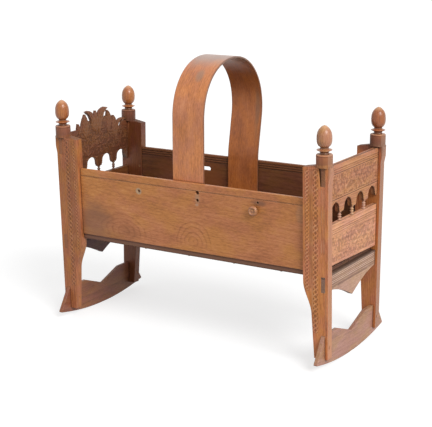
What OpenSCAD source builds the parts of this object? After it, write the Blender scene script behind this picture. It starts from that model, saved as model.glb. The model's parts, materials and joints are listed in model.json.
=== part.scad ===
// Rocking cradle in oak: two end frames on curved rockers, boarded sides and a bent hoop.
// The head end is at -X and the foot end at +X. The floor that it stands on is z = 0.

/* [Overall] */
// Length over the outer faces of the posts
cradle_len = 936; // [800:1:1200]
// Clear width between the inner faces of the posts, at the height splay_z
inner_w = 308; // [250:1:380]
// Outward lean of the posts and side boards
splay = 1.4; // [0:0.1:3]
// Height above the floor at which inner_w is measured
splay_z = 450; // [400:1:500]

/* [Posts] */
// Width of a post, along the cradle
post_w = 78; // [68:1:100]
// Thickness of a post
post_t = 26; // [22:1:34]
// Width of a post where it meets the rocker
post_foot_w = 43; // [38:1:60]
// Height of the underside of a post above the floor
post_foot_z = 28; // [22:1:40]
// Extra width on the outer edge of a post's head
head_step = 4; // [0:0.5:8]
// Height of that wider head, down from the shoulder
head_h = 32; // [20:1:60]
// Height of the post's flat top, beside the turned drum
shoulder_z = 585; // [570:1:595]
// Slope of the shoulder, down towards the side board
shoulder_slope = 10; // [0:1:30]
// Height of the turned drum's top
drum_z = 617; // [608:1:640]
// Height at which the drum springs from the post
drum_low_z = 579; // [572:1:584]
// Height over which it swells to its full size
drum_flare = 6; // [3:1:20]
// Diameter of the turned drum
drum_d = 46; // [36:1:50]
// Distance of the drum's axis from the post's outer face
axis_inset = 18; // [16:0.5:24]
// How far below the side board the post starts to narrow
taper_drop = 24; // [20:1:45]
// Height over which the post narrows
taper_h = 100; // [70:1:115]
// Share of the narrowing that lies in the curved part
taper_share = 0.76; // [0.6:0.05:1]

/* [Finials] */
// Height of a finial above its drum
finial_h = 80; // [70:1:95]
// Height of the acorn itself
acorn_h = 59; // [50:1:64]
// Diameter of the acorn
acorn_d = 43; // [34:1:46]
// Diameter of the ring under the acorn
ring_d = 43; // [34:1:46]
// Diameter of the turned necks
neck_d = 24; // [20:1:28]
// Diameter of the spigot in the drum
spigot_d = 14; // [10:1:18]
// Length of the spigot
spigot_l = 24; // [16:1:28]

/* [Side boards] */
// Height of the front side board
side_h = 208; // [180:1:220]
// Extra height of the rear board
rear_extra = 12; // [0:1:20]
// Height of the side boards' lower edges above the floor
side_z = 279; // [270:1:290]
// Thickness of the side boards
side_t = 12; // [10:1:16]
// Setback of a side board behind the inner face of the posts
side_inset = 3; // [1:0.5:4]
// Length of the tongue that enters each post
tongue_l = 15; // [10:1:20]
// Thickness of that tongue
tongue_t = 8; // [5:1:9]
// Height of the tongue's shoulders at the board's edges
tongue_shoulder = 14; // [8:1:25]
// Depth of the band that is worked along the top of a board
band_h = 22; // [14:1:30]
// Width of the worked grooves
groove_w = 2.2; // [1.5:0.1:4]
// Depth of the worked grooves
groove_deep = 1.2; // [0.6:0.1:2]
// Depth of the fine line along the front board
fine_deep = 0.5; // [0.3:0.1:1]

/* [Floor] */
// Thickness of the floor boards
floor_t = 15; // [12:1:18]
// Setback of the floor's long edges behind the side boards
floor_inset = 3; // [1:0.5:4]
// Gap between the two floor boards
floor_gap = 1.5; // [1:0.5:4]
// Clearance between the floor and the posts and end boards
floor_play = 0.5; // [0.2:0.1:1]
// Width of the cleats under the floor's ends
cleat_w = 16; // [12:1:24]
// Height of the cleats
cleat_h = 18; // [14:1:22]

/* [End boards] */
// Thickness of every end board
end_t = 14; // [12:1:18]
// Setback of the end boards behind the posts' outer faces
end_inset = 9; // [7:1:14]
// Height of the foot board's straight top
foot_top_z = 579; // [578:1:610]
// Height of the sill under the foot end's arches
foot_sill_z = 412; // [400:1:430]
// Height of the sill under the head end's arches
head_sill_z = 432; // [420:1:450]
// Gap between the floor's top and the lower panels
panel_gap = 11; // [8:1:20]
// How much wider that gap is at the front than at the rear
gap_taper = 10; // [0:1:12]
// Height of the spindles between sill and pendant
spindle_h = 27; // [22:1:34]
// Diameter of a spindle's beads
spindle_d = 11; // [8:0.5:14]
// Diameter of the spindles' pins
pin_d = 5.5; // [4:0.5:7]
// Length of those pins
pin_l = 6; // [4:0.5:8]
// Distance between the arches' middles
arch_pitch = 78; // [60:1:80]
// Width of an arch between its pendants
arch_w = 47; // [36:1:50]
// Height of an arch above its pendants' feet
arch_h = 34; // [26:1:40]
// Height of the through tenons at the top of the end boards
tenon_h = 50; // [35:1:56]
// Height above the floor of the top of those tenons
tenon_z = 578; // [560:1:582]
// Thickness of the through tenons
tenon_t = 12; // [8:1:12]
// Space for the wedge beside such a tenon, at its top
wedge_t = 8; // [5:1:10]
// The same space at the tenon's lower edge
wedge_low_t = 3; // [2:0.5:5]
// How far the foot end's wedges sit below the post's face
wedge_sunk = 5; // [2:1:10]
// The same at the head end
head_wedge_sunk = 1; // [0.5:0.5:5]
// Depth of the lower panels' stub tenons
stub_l = 12; // [8:1:16]
// Thickness of those stub tenons
stub_t = 8; // [5:1:10]

/* [Aprons] */
// How far the aprons reach above the floor's underside
apron_lap = 6; // [2:1:12]
// Height of an apron where it meets the posts
apron_h = 45; // [35:1:55]
// Drop of the apron's central point below its ends
apron_drop = 50; // [25:1:55]
// How much further down the head end's apron reaches
head_apron_more = 5; // [0:1:8]

/* [Crest] */
// Height of the crest board beside the posts
crest_z = 586; // [582:1:600]
// Height of the crest board's body below its leaves
crest_body_z = 612; // [600:1:620]
// Thickness of the crest board between its ends
crest_t = 8; // [7:0.5:10]
// Half length of that thinner part
crest_thin_half = 134; // [120:1:140]

/* [Rockers] */
// Radius of the rockers' curved underside
rocker_r = 1000; // [900:1:1400]
// Thickness of a rocker
rocker_t = 12; // [11:1:14]
// Length of a rocker from tip to tip
rocker_l = 432; // [420:1:480]
// Height of a rocker's top where it passes the posts
rocker_h = 98; // [85:1:120]
// Height of its top at the middle notch
rocker_mid_h = 65; // [55:1:80]
// Half width of that notch
notch_half = 90; // [60:1:115]
// Length of the flat on which each rocker stands
stand_l = 40; // [30:1:60]
// Blunt height of a rocker's tips
tip_h = 3; // [1:0.5:6]

/* [Hoop] */
// Width of the hoop's strap, along the cradle
hoop_w = 108; // [80:1:140]
// Thickness of the strap
hoop_t = 6; // [4:0.5:8]
// Height of the hoop's top
hoop_z = 837; // [780:1:900]
// Radius of the hoop's round top
hoop_r = 170; // [150:1:185]
// How far the round top leans towards the rear
hoop_lean = 14; // [0:1:25]
// Squareness of the round top: 2 is a circle, more has fuller shoulders
hoop_square = 2.1; // [2:0.05:2.3]
// Height above a side board at which the strap starts to bend away
hoop_ease = 20; // [10:1:40]
// Gap between the strap and the side board behind it
hoop_gap = 0.2; // [0.1:0.1:0.5]
// Gap between the strap's ends and the floor
hoop_foot = 3; // [1:1:10]

/* [Knob and holes] */
// Place of the lacing knob along the front board
knob_x = 231; // [150:1:300]
// Drop of the lacing knob's middle below the board's top
knob_drop = 54; // [35:1:100]
// Diameter of the lacing knob
knob_d = 30; // [24:1:34]
// How far the lacing knob stands out
knob_out = 17; // [12:1:22]
// Diameter of its shank
shank_d = 9; // [7:0.5:12]
// Length of the lacing slot in the rear board
slot_l = 50; // [30:1:70]
// Height of the lacing slot
slot_h = 13; // [9:1:16]
// Place of the slot's middle along the rear board
slot_x = -147; // [-250:1:-90]
// Drop of the slot's middle below the board's top
slot_drop = 46; // [30:1:70]

/* [Pegs and nails] */
// Diameter of the pegs through the rockers
rocker_peg_d = 9; // [7:0.5:12]
// Height of the pegs through the rockers
rocker_peg_z = 62; // [50:1:75]
// Diameter of the pegs in the side boards' tongues
peg_d = 7; // [5:0.5:8]
// Diameter of a nail's shank
nail_d = 3; // [2:0.5:4]
// Diameter of a nail's head
nail_head_d = 8; // [6:0.5:10]
// Thickness of a nail's head
nail_head_t = 1.5; // [1:0.5:2]
// How far the floor's nails enter the side boards
floor_nail_bite = 18; // [10:1:30]

/* [Hidden] */

head = -1;
foot = 1;
front = -1;
rear = 1;
far = 2000;          // longer than anything here, for open-ended cuts
eps = 0.01;          // overlap of solids that are joined
spare = 5;           // extra on a solid that is cut back, and on a cut that runs out
arch_n = 4;

x_out = cradle_len / 2;
x_in = x_out - post_w;
x_axis = x_out - axis_inset;
x_end = x_out - end_inset - end_t;
side_top_z = side_z + side_h;
rear_top_z = side_top_z + rear_extra;
drum_r = drum_d / 2;
floor_z = side_z - floor_t;
panel_z = side_z + panel_gap;
apron_z = floor_z + apron_lap;
slot_z = rear_top_z - slot_drop;
knob_z = side_top_z - knob_drop;
tip_z = rocker_r - sqrt(pow(rocker_r, 2) - pow(rocker_l / 2, 2));
stand_cut = rocker_r - sqrt(pow(rocker_r, 2) - pow(stand_l / 2, 2));
x_tenon = x_end + end_t - tenon_t;
x_rocker = x_end + end_t - rocker_t;
through = post_t / cos(splay);
arch_foot_z = foot_sill_z + spindle_h;
head_arch_foot_z = head_sill_z + spindle_h;
tongue_y = side_inset + (side_t - tongue_t) / 2;

// Places of pegs and nails, as shares of a board, and of worked lines below an edge
side_peg_share = [0.25, 0.75];
hoop_nail_share = [0.12, 0.36];
hoop_nail_x = [-hoop_w * 0.28, hoop_w * 0.28];
floor_nail_share = [-0.8, -0.4, 0, 0.4, 0.8];
frieze_lines = [14, 20, 26];
sill_lines = [16, 22, 28];
apron_lines = [8, 13, 24, 29];
ledge_h = 8;         // from the arches' crowns to the line over them
rear_board_lines = [10, 17, 24];

// Holes through the front board: place, height and diameter
front_holes = [[-171, side_top_z - 46, 10.5], [37.5, side_top_z - 26, 12], [37.5, side_top_z - 49, 9]];
nail_hole = [knob_x + 10, side_top_z - 31, 7];

// Half an arch from its foot to its crown, as shares of half its width and of its height
pointed_edge = [[1.28, -0.03], [1.15, 0.06], [1.05, 0.2], [0.97, 0.5], [0.82, 0.7], [0.52, 0.87], [0.02, 1]];
round_edge = [[1.24, -0.03], [1.15, 0.09], [1.03, 0.23], [0.96, 0.58], [0.87, 0.75], [0.62, 0.9], [0.25, 0.99], [0.02, 1]];

// Leaves of the crest: foot, bend, tip and width, measured from the middle and from crest_z
crest_leaves = [[[-97, -14], [-98, 8], [-101, 24], 16], [[-66, -30], [-66, 16], [-66, 49], 38],
    [[-22, -12], [-28, 50], [-64, 56], 28], [[-12, -16], [-13, 24], [-11, 54], 30],
    [[4, -24], [4, 54], [51, 55], 34], [[50, -30], [64, 20], [50, 47], 30],
    [[76, -40], [90, 0], [82, 26], 30], [[88, -60], [98, 14], [150, 5], 24]];
// Slits between the leaves, in the same form
crest_slits = [[[-37, 13], [-43, 32], [-57, 51], 10], [[31, 18], [33, 38], [47, 50], 12],
    [[112, -24], [111, -4], [129, 6], 13]];
// Top of the crest's body from post to post: place, and share of its height above crest_z
crest_body = [[-150, -0.04], [-149, 0.2], [-92, 0.2], [-80, 0.75], [-50, 1], [-20, 1.25], [40, 1.15], [66, 0.7],
    [96, 0.1], [100, -0.04]];

function inner_y(z) = inner_w / 2 + tan(splay) * (z - splay_z);
function outer_y(z) = inner_y(z) + post_t / cos(splay);
function side_inner_y(z) = inner_y(z) + side_inset / cos(splay);
function local_z(z) = (z - splay_z) / cos(splay);
function blend(t) = (1 - cos(180 * t)) / 2;
function flip(list) = [for (i = [len(list) - 1:-1:0]) list[i]];
function both_sides(half) = concat(half, flip([for (p = half) [-p[0], p[1]]]));

// Frames in which the pieces are drawn

// Leaning frame of a side: y = 0 is the inner face of the posts, outwards is +y
module on_side(side) {
    mirror([0, side == front ? 1 : 0, 0])
        translate([0, inner_w / 2, splay_z])
            rotate([-splay, 0, 0])
                children();
}

module at_end(end) {
    mirror([end == head ? 1 : 0, 0, 0])
        children();
}

// An outline across the cradle, given thickness along it
module across(x, t) {
    translate([x, 0, 0])
        rotate([90, 0, 90])
            linear_extrude(height = t)
                children();
}

// An outline along the side, given thickness outwards from y
module along_side(y, t) {
    translate([0, y + t, 0])
        rotate([90, 0, 0])
            linear_extrude(height = t)
                children();
}

// A leaf along a bent rib, widest before the middle and pointed at both ends
function rib(leaf, t) = pow(1 - t, 2) * leaf[0] + 2 * t * (1 - t) * leaf[1] + pow(t, 2) * leaf[2];
function rib_edge(leaf, side) = [for (i = [0:16])
    let (t = i / 16, d = unit(rib(leaf, min(t + 0.02, 1)) - rib(leaf, max(t - 0.02, 0))))
        rib(leaf, t) + side * leaf[3] / 2 * sin(180 * pow(t, 0.8)) * [-d[1], d[0]]];

module bent_leaf(leaf) {
    translate([0, crest_z])
        polygon(concat(rib_edge(leaf, 1), flip(rib_edge(leaf, -1))));
}

// Joints that two pieces share

// Tenon of an end board between two heights, as deep as asked or right through the post
module tenon(side, z0, z1, depth, x, t) {
    across(x, t)
        polygon([[side * (inner_y(z0) - 1), z0], [side * (inner_y(z1) - 1), z1],
            [side * (inner_y(z1) + depth), z1], [side * (inner_y(z0) + depth), z0]]);
}

// Through tenons; extra is how far their mortises are cut past the post's face
module upper_tenon(side, extra = 0) {
    tenon(side, tenon_z - tenon_h, tenon_z, through + extra, x_tenon, tenon_t);
}

module wedge_space(side, depth) {
    low = tenon_z - tenon_h;
    intersection() {
        tenon(side, low, tenon_z, depth, x_tenon - wedge_t, wedge_t);
        along_side(-far / 2, far)
            polygon([[x_tenon, low], [x_tenon, tenon_z], [x_tenon - wedge_t, tenon_z], [x_tenon - wedge_low_t, low]]);
    }
}

module apron_tenon(side, extra = 0) {
    tenon(side, apron_z - apron_h, apron_z, through + extra, x_tenon, tenon_t);
}

module panel_tenon(side, sill_z) {
    tenon(side, panel_z + stub_l, sill_z - stub_l, stub_l, x_end + (end_t - stub_t) / 2, stub_t);
}

module rocker_slot() {
    translate([x_rocker, -far / 2, -far / 2])
        cube([rocker_t, far, far / 2 + rocker_h]);
}

module rocker_peg(side, extra) {
    translate([x_out - post_foot_w - extra, side * (inner_y(rocker_peg_z) + post_t / 2), rocker_peg_z])
        rotate([0, 90, 0])
            cylinder(d = rocker_peg_d, h = post_foot_w + 2 * extra, $fn = 32);
}

module tongue() {
    translate([-x_in - tongue_l, tongue_y, local_z(side_z) + tongue_shoulder])
        cube([2 * (x_in + tongue_l), tongue_t, side_h - 2 * tongue_shoulder]);
}

// Pegs through the tongues, in the leaning frame, from the posts' inner faces
module tongue_peg(share, extra) {
    past = 3;
    translate([x_in + tongue_l / 2, -extra, local_z(side_z + share * side_h)])
        rotate([-90, 0, 0])
            cylinder(d = peg_d, h = tongue_y + tongue_t + past + extra, $fn = 24);
}

// Posts and finials

function post_inner_edge() = concat(
    [[x_in, local_z(side_z - taper_drop)]],
    [for (i = [1:10]) [
        x_in + (post_w - post_foot_w) * taper_share * blend(i / 10),
        local_z(side_z - taper_drop - taper_h * i / 10)]],
    [[x_out - post_foot_w, local_z(post_foot_z)]]);

module post_plank() {
    run = x_axis - drum_r - x_in;
    ease = 5 * head_step;
    along_side(0, post_t)
        polygon(concat(
            [[x_out, local_z(post_foot_z)], [x_out, local_z(shoulder_z - head_h) - ease],
                [x_out + head_step, local_z(shoulder_z - head_h)],
                [x_out + head_step, local_z(shoulder_z)],
                [x_in + run, local_z(shoulder_z)],
                [x_in, local_z(shoulder_z) - run * tan(shoulder_slope)]],
            post_inner_edge()));
}

// The drum is pared away at the front, the back and the outer edge to the plank below
module post_drum() {
    low = local_z(drum_low_z);
    top = local_z(drum_z);
    round_z = low + drum_flare;
    edge = 2;
    r = drum_r + 1;
    intersection() {
        translate([x_axis, post_t / 2, low])
            union() {
                cylinder(r = drum_r, h = top - low - edge, $fn = 64);
                translate([0, 0, top - low - edge - eps])
                    cylinder(r1 = drum_r, r2 = drum_r - edge, h = edge + eps, $fn = 64);
            }
        across(x_axis - r, 2 * r)
            translate([post_t / 2, 0])
                polygon(both_sides([[post_t / 2, low], [r, round_z], [r, top]]));
        along_side(-far / 2, far)
            polygon([[x_axis - r, low], [x_out, low], [x_out + head_step, low + 1],
                [x_axis + r, round_z], [x_axis + r, top], [x_axis - r, top]]);
    }
}

module post(end, side) {
    sill_z = end == head ? head_sill_z : foot_sill_z;
    color("saddlebrown")
        at_end(end)
            difference() {
                on_side(side)
                    difference() {
                        union() {
                            post_plank();
                            post_drum();
                        }
                        tongue();
                        for (share = side_peg_share)
                            tongue_peg(share, spare);
                        translate([x_axis, post_t / 2, local_z(drum_z) - spigot_l])
                            cylinder(d = spigot_d, h = spigot_l + spare, $fn = 32);
                    }
                upper_tenon(side, spare);
                wedge_space(side, through + spare);
                panel_tenon(side, sill_z);
                apron_tenon(side, spare);
                rocker_slot();
                rocker_peg(side, spare);
            }
}

// Half outline of an acorn from its foot to its tip, widest at a third of its height
function acorn_r(t) = let (r = acorn_d / 2, foot = neck_d / 2, widest = 0.34)
    t < widest ? foot + (r - foot) * sqrt(1 - pow(1 - t / widest, 2))
        : r * pow(1 - pow((t - widest) / (1 - widest), 2.8), 0.75);

module finial(end, side) {
    stem = finial_h - acorn_h;
    ring_r = ring_d / 2;
    neck_r = neck_d / 2;
    color("peru")
        at_end(end)
            on_side(side)
                translate([x_axis, post_t / 2, local_z(drum_z)])
                    rotate_extrude($fn = 64)
                        polygon(concat(
                            [[0, -spigot_l], [spigot_d / 2, -spigot_l], [spigot_d / 2, 0],
                                [neck_r * 1.15, 0], [neck_r, stem * 0.14], [neck_r, stem * 0.32],
                                [ring_r * 0.95, stem * 0.5], [ring_r, stem * 0.57],
                                [ring_r * 0.95, stem * 0.66], [neck_r, stem * 0.8]],
                            [for (i = [0:19]) [acorn_r(i / 20), stem + acorn_h * i / 20]],
                            [[0, finial_h]]));
}

// Side boards and floor

module side_board_blank(h) {
    translate([-x_in, side_inset, local_z(side_z) - spare])
        cube([2 * x_in, side_t, h + spare]);
    tongue();
}

module below_side_boards() {
    translate([-far / 2, -far / 2, side_z - far])
        cube([far, far, far]);
}

module hole_in_side(place) {
    translate([place[0], -far / 2, local_z(place[1])])
        rotate([-90, 0, 0])
            cylinder(d = place[2], h = far, $fn = 32);
}

// A worked line that runs along a side board, deep inwards from the face at y
module worked_line(top_z, y, drop, deep) {
    translate([-x_in - 1, y - deep, local_z(top_z) - drop])
        cube([2 * x_in + 2, 2 * deep, groove_w]);
}

module front_side_board() {
    color("peru")
        difference() {
            on_side(front)
                difference() {
                    side_board_blank(side_h);
                    for (end = [head, foot], share = side_peg_share)
                        at_end(end)
                            tongue_peg(share, spare);
                    for (place = concat(front_holes, [nail_hole, [knob_x, knob_z, shank_d]]))
                        hole_in_side(place);
                    worked_line(side_top_z, side_inset + side_t, band_h, fine_deep);
                    hoop_nail_row();
                }
            below_side_boards();
            floor_nail_rows();
        }
}

module rear_side_board() {
    color("sienna")
        difference() {
            on_side(rear)
                difference() {
                    side_board_blank(side_h + rear_extra);
                    for (end = [head, foot], share = side_peg_share)
                        at_end(end)
                            tongue_peg(share, spare);
                    for (x = [-1, 1])
                        hole_in_side([slot_x + x * (slot_l - slot_h) / 2, slot_z, slot_h]);
                    translate([slot_x - (slot_l - slot_h) / 2, -far / 2, local_z(slot_z) - slot_h / 2])
                        cube([slot_l - slot_h, far, slot_h]);
                    worked_line(rear_top_z, side_inset + side_t, band_h, groove_deep);
                    for (drop = rear_board_lines)
                        worked_line(rear_top_z, side_inset, drop, groove_deep);
                    hoop_nail_row();
                }
            below_side_boards();
            floor_nail_rows();
        }
}

floor_half_w = side_inner_y(side_z) + side_t / cos(splay) - floor_inset;
floor_nail_y = (side_inner_y(side_z) + floor_half_w) / 2;
floor_end_x = x_end - floor_play;

module floor_board(side) {
    y_post = inner_y(floor_z) - floor_play;
    x_post = x_in - floor_play;
    color("sienna")
        difference() {
            translate([0, 0, floor_z])
                linear_extrude(height = floor_t)
                    polygon([for (p = [[-floor_end_x, floor_gap / 2], [-floor_end_x, y_post], [-x_post, y_post],
                        [-x_post, floor_half_w], [x_post, floor_half_w], [x_post, y_post],
                        [floor_end_x, y_post], [floor_end_x, floor_gap / 2]]) [p[0], side * p[1]]]);
            floor_nail_rows();
        }
}

module floor_cleat(end) {
    half = inner_y(floor_z - cleat_h) - floor_play;
    color("sienna")
        at_end(end)
            difference() {
                translate([x_end - cleat_w, -half, floor_z - cleat_h])
                    cube([cleat_w, 2 * half, cleat_h]);
                floor_end_nails();
                cleat_nail_row();
            }
}

// End boards

// Outline between two heights; slope is how much higher its lower edge is at the front
module board_outline(z0, z1, slope = 0) {
    zf = z0 + slope / 2;
    zr = z0 - slope / 2;
    polygon([[-inner_y(zf), zf], [inner_y(zr), zr], [inner_y(z1), z1], [-inner_y(z1), z1]]);
}

module arch_places() {
    for (i = [0:arch_n - 1])
        translate([(i - (arch_n - 1) / 2) * arch_pitch, 0])
            children();
}

function spindle_y(i) = (i - arch_n / 2) * arch_pitch;

function spindle_x(end) = x_end + (end == head ? crest_t : end_t) / 2;

module pin_holes(end, z) {
    for (i = [1:arch_n - 1])
        translate([spindle_x(end), spindle_y(i), z - pin_l])
            cylinder(d = pin_d, h = 2 * pin_l, $fn = 24);
}

// Row of arches, upwards from the feet of the pendants between them
module arches(edge, z) {
    arch_places()
        translate([0, z])
            polygon(both_sides([for (p = edge) [p[0] * arch_w / 2, p[1] * arch_h]]));
}

module end_lines(top_z, drops) {
    for (drop = drops)
        translate([x_end + end_t - groove_deep, -inner_y(top_z - drop), top_z - drop - groove_w])
            cube([groove_deep + 1, 2 * inner_y(top_z - drop), groove_w]);
}

module foot_frieze_board() {
    color("peru")
        difference() {
            union() {
                across(x_end, end_t)
                    difference() {
                        board_outline(arch_foot_z, foot_top_z);
                        arches(pointed_edge, arch_foot_z);
                    }
                for (side = [front, rear])
                    upper_tenon(side);
            }
            pin_holes(foot, arch_foot_z);
            end_lines(foot_top_z, frieze_lines);
            end_lines(arch_foot_z + arch_h, [-ledge_h]);
        }
}

module crest_outline() {
    board_outline(head_arch_foot_z, crest_z);
    polygon([for (p = crest_body) [p[0], crest_z + p[1] * (crest_body_z - crest_z)]]);
    for (leaf = crest_leaves)
        bent_leaf(leaf);
}

// The crest board's outer side is hollowed out between its ends
module crest_hollow() {
    ramp = 2 * (end_t - crest_t);
    linear_extrude(height = far)
        polygon([[x_end + crest_t, -crest_thin_half], [x_end + crest_t, crest_thin_half],
            [x_end + crest_t + ramp, crest_thin_half + ramp], [x_end + crest_t + ramp, -crest_thin_half - ramp]]);
}

module head_crest_board() {
    color("saddlebrown")
        at_end(head)
            difference() {
                union() {
                    across(x_end, end_t)
                        difference() {
                            crest_outline();
                            arches(round_edge, head_arch_foot_z);
                            for (slit = crest_slits)
                                bent_leaf(slit);
                        }
                    for (side = [front, rear])
                        upper_tenon(side);
                }
                pin_holes(head, head_arch_foot_z);
                crest_hollow();
            }
}

module lower_panel(end, sill_z) {
    color("peru")
        at_end(end)
            difference() {
                union() {
                    across(x_end, end_t)
                        board_outline(panel_z, sill_z, gap_taper);
                    for (side = [front, rear])
                        panel_tenon(side, sill_z);
                }
                pin_holes(end, sill_z);
                end_lines(sill_z, sill_lines);
            }
}

function apron_edge(more) = [for (i = [0:12]) let (t = i / 12, z = apron_z - apron_h - more)
    [t * inner_y(z), z - apron_drop * pow(1 - t, 1.6)]];

module apron(end) {
    color("peru")
        at_end(end)
            difference() {
                union() {
                    across(x_end, end_t)
                        polygon(both_sides(concat(apron_edge(end == head ? head_apron_more : 0), [[inner_y(apron_z), apron_z]])));
                    for (side = [front, rear])
                        apron_tenon(side);
                }
                end_lines(apron_z, apron_lines);
                cleat_nail_row();
            }
}

// Turned shape of a spindle: shares of its radius and of its height
spindle_turns = [[1, 0], [1, 0.1], [0.55, 0.18], [0.55, 0.25], [0.9, 0.36], [1, 0.47],
    [0.9, 0.58], [0.55, 0.68], [0.55, 0.76], [1, 0.89], [1, 1]];

// Turned spindle between a sill and the pendant above it
module spindle(end, i) {
    sill_z = end == head ? head_sill_z : foot_sill_z;
    pin_r = pin_d / 2;
    color("burlywood")
        at_end(end)
            translate([spindle_x(end), spindle_y(i), sill_z])
                rotate_extrude($fn = 40)
                    polygon(concat([[0, -pin_l], [pin_r, -pin_l], [pin_r, 0]],
                        [for (p = spindle_turns) [p[0] * spindle_d / 2, p[1] * spindle_h]],
                        [[pin_r, spindle_h], [pin_r, spindle_h + pin_l], [0, spindle_h + pin_l]]));
}

// Rockers

module rocker(end) {
    post_y = outer_y(rocker_h);
    color("peru")
        at_end(end)
            difference() {
                intersection() {
                    across(x_rocker, rocker_t)
                        polygon(both_sides([[0, rocker_mid_h], [notch_half, rocker_h], [post_y, rocker_h],
                            [rocker_l / 2, tip_z + tip_h], [rocker_l / 2, 0], [0, 0]]));
                    translate([x_rocker - spare, 0, rocker_r - stand_cut])
                        rotate([0, 90, 0])
                            cylinder(r = rocker_r, h = rocker_t + 2 * spare, $fn = 720);
                }
                for (side = [front, rear])
                    rocker_peg(side, spare);
            }
}

module rocker_pegs(end) {
    color("tan")
        at_end(end)
            for (side = [front, rear])
                rocker_peg(side, 1);
}

module tenon_wedges(end) {
    color("tan")
        at_end(end)
            for (side = [front, rear])
                intersection() {
                    wedge_space(side, through - (end == head ? head_wedge_sunk : wedge_sunk));
                    on_side(side)
                        translate([0, 0, -far / 2])
                            cube([far, post_t, far]);
                }
}

// Hoop: the middle line of the strap, from its front foot over the top to its rear foot

hoop_c = [hoop_lean, hoop_z - hoop_r];
hoop_mid_r = hoop_r - hoop_t / 2;

function leg_y(z) = side_inner_y(z) - hoop_gap - hoop_t / 2;
function board_z(side) = side == front ? side_top_z : rear_top_z;
function leg_point(side, z) = [side * leg_y(z), z];
// Each leg is straight from its bend above the board until it touches the round top
function bend_point(side) = leg_point(side, board_z(side) + hoop_ease);
function touch_angle(side) = let (v = bend_point(side) - hoop_c, a = acos(hoop_mid_r / norm(v)))
    side == front ? 360 + atan2(v[1], v[0]) - a : atan2(v[1], v[0]) + a;
function round_top(a) = let (e = 2 / (a > 0 && a < 180 ? hoop_square : 2), c = cos(a), s = sin(a))
    hoop_c + hoop_mid_r * [sign(c) * pow(abs(c), e), sign(s) * pow(abs(s), e)];
function bend(side, t) = let (mid = bend_point(side), d = unit(round_top(touch_angle(side)) - mid))
    pow(1 - t, 2) * leg_point(side, board_z(side)) + 2 * t * (1 - t) * mid + pow(t, 2) * (mid + hoop_ease * d);
function hoop_line() = let (a0 = touch_angle(front), a1 = touch_angle(rear)) concat(
    [leg_point(front, side_z + hoop_foot)],
    [for (i = [0:4]) bend(front, i / 4)],
    [for (i = [0:46]) round_top(a0 + (a1 - a0) * i / 46)],
    [for (i = [4:-1:0]) bend(rear, i / 4)],
    [leg_point(rear, side_z + hoop_foot)]);
function unit(v) = v / norm(v);
function hoop_edge(line, off) = [for (i = [0:len(line) - 1])
    let (a = line[max(i - 1, 0)], b = line[min(i + 1, len(line) - 1)], d = unit(b - a))
        line[i] + off * [-d[1], d[0]]];

module hoop() {
    line = hoop_line();
    color("rosybrown")
        difference() {
            across(-hoop_w / 2, hoop_w)
                polygon(concat(hoop_edge(line, hoop_t / 2), flip(hoop_edge(line, -hoop_t / 2))));
            for (side = [front, rear])
                on_side(side)
                    hoop_nail_row();
        }
}

// Lacing knob: a turned mushroom whose shank is a push fit in the front board

module lacing_knob() {
    r = knob_d / 2;
    color("peru")
        on_side(front)
            translate([knob_x, side_inset + side_t, local_z(knob_z)])
                rotate([-90, 0, 0])
                    rotate_extrude($fn = 48)
                        polygon(concat(
                            [[0, -side_t], [shank_d / 2, -side_t], [shank_d / 2, 0],
                                [r * 0.6, 0], [r * 0.55, knob_out * 0.25], [r * 0.95, knob_out * 0.42]],
                            [for (i = [0:6]) [r * cos(15 * i), knob_out * (0.55 + 0.45 * sin(15 * i))]]));
}

// Pegs and nails

module side_board_pegs() {
    color("tan")
        for (side = [front, rear], end = [head, foot], share = side_peg_share)
            at_end(end)
                on_side(side)
                    tongue_peg(share, 0.5);
}

// A nail along +z with its head below z = 0
module nail(l) {
    cylinder(d = nail_d, h = l, $fn = 16);
    translate([0, 0, -nail_head_t])
        cylinder(d = nail_head_d, h = nail_head_t + eps, $fn = 24);
}

// Nails from the strap into the side board, in the leaning frame
module hoop_nail_row() {
    for (x = hoop_nail_x, share = hoop_nail_share)
        translate([x, side_inset - hoop_gap - hoop_t, local_z(side_z + share * side_h)])
            rotate([-90, 0, 0])
                nail(hoop_t + side_t * 0.75);
}

module floor_nail_rows() {
    for (side = [front, rear], share = floor_nail_share)
        translate([share * x_in, side * floor_nail_y, floor_z])
            nail(floor_t + floor_nail_bite);
}

module floor_end_nails() {
    for (side = [front, rear], share = [0.25, 0.75])
        translate([x_end - cleat_w / 2, side * share * inner_y(floor_z), floor_z + floor_t - nail_head_t])
            mirror([0, 0, 1])
                nail(floor_t + cleat_h / 2);
}

module hoop_nails() {
    color("dimgray")
        for (side = [front, rear])
            on_side(side)
                hoop_nail_row();
}

module floor_nails() {
    color("dimgray") {
        floor_nail_rows();
        for (end = [head, foot])
            at_end(end)
                floor_end_nails();
    }
}

module cleat_nail_row() {
    for (share = [-0.7, 0, 0.7])
        translate([x_end - cleat_w, share * inner_y(floor_z - cleat_h), floor_z - cleat_h * 0.6])
            rotate([0, 90, 0])
                nail(cleat_w + end_t * 0.6);
}

module cleat_nails() {
    color("dimgray")
        for (end = [head, foot])
            at_end(end)
                cleat_nail_row();
}

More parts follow.
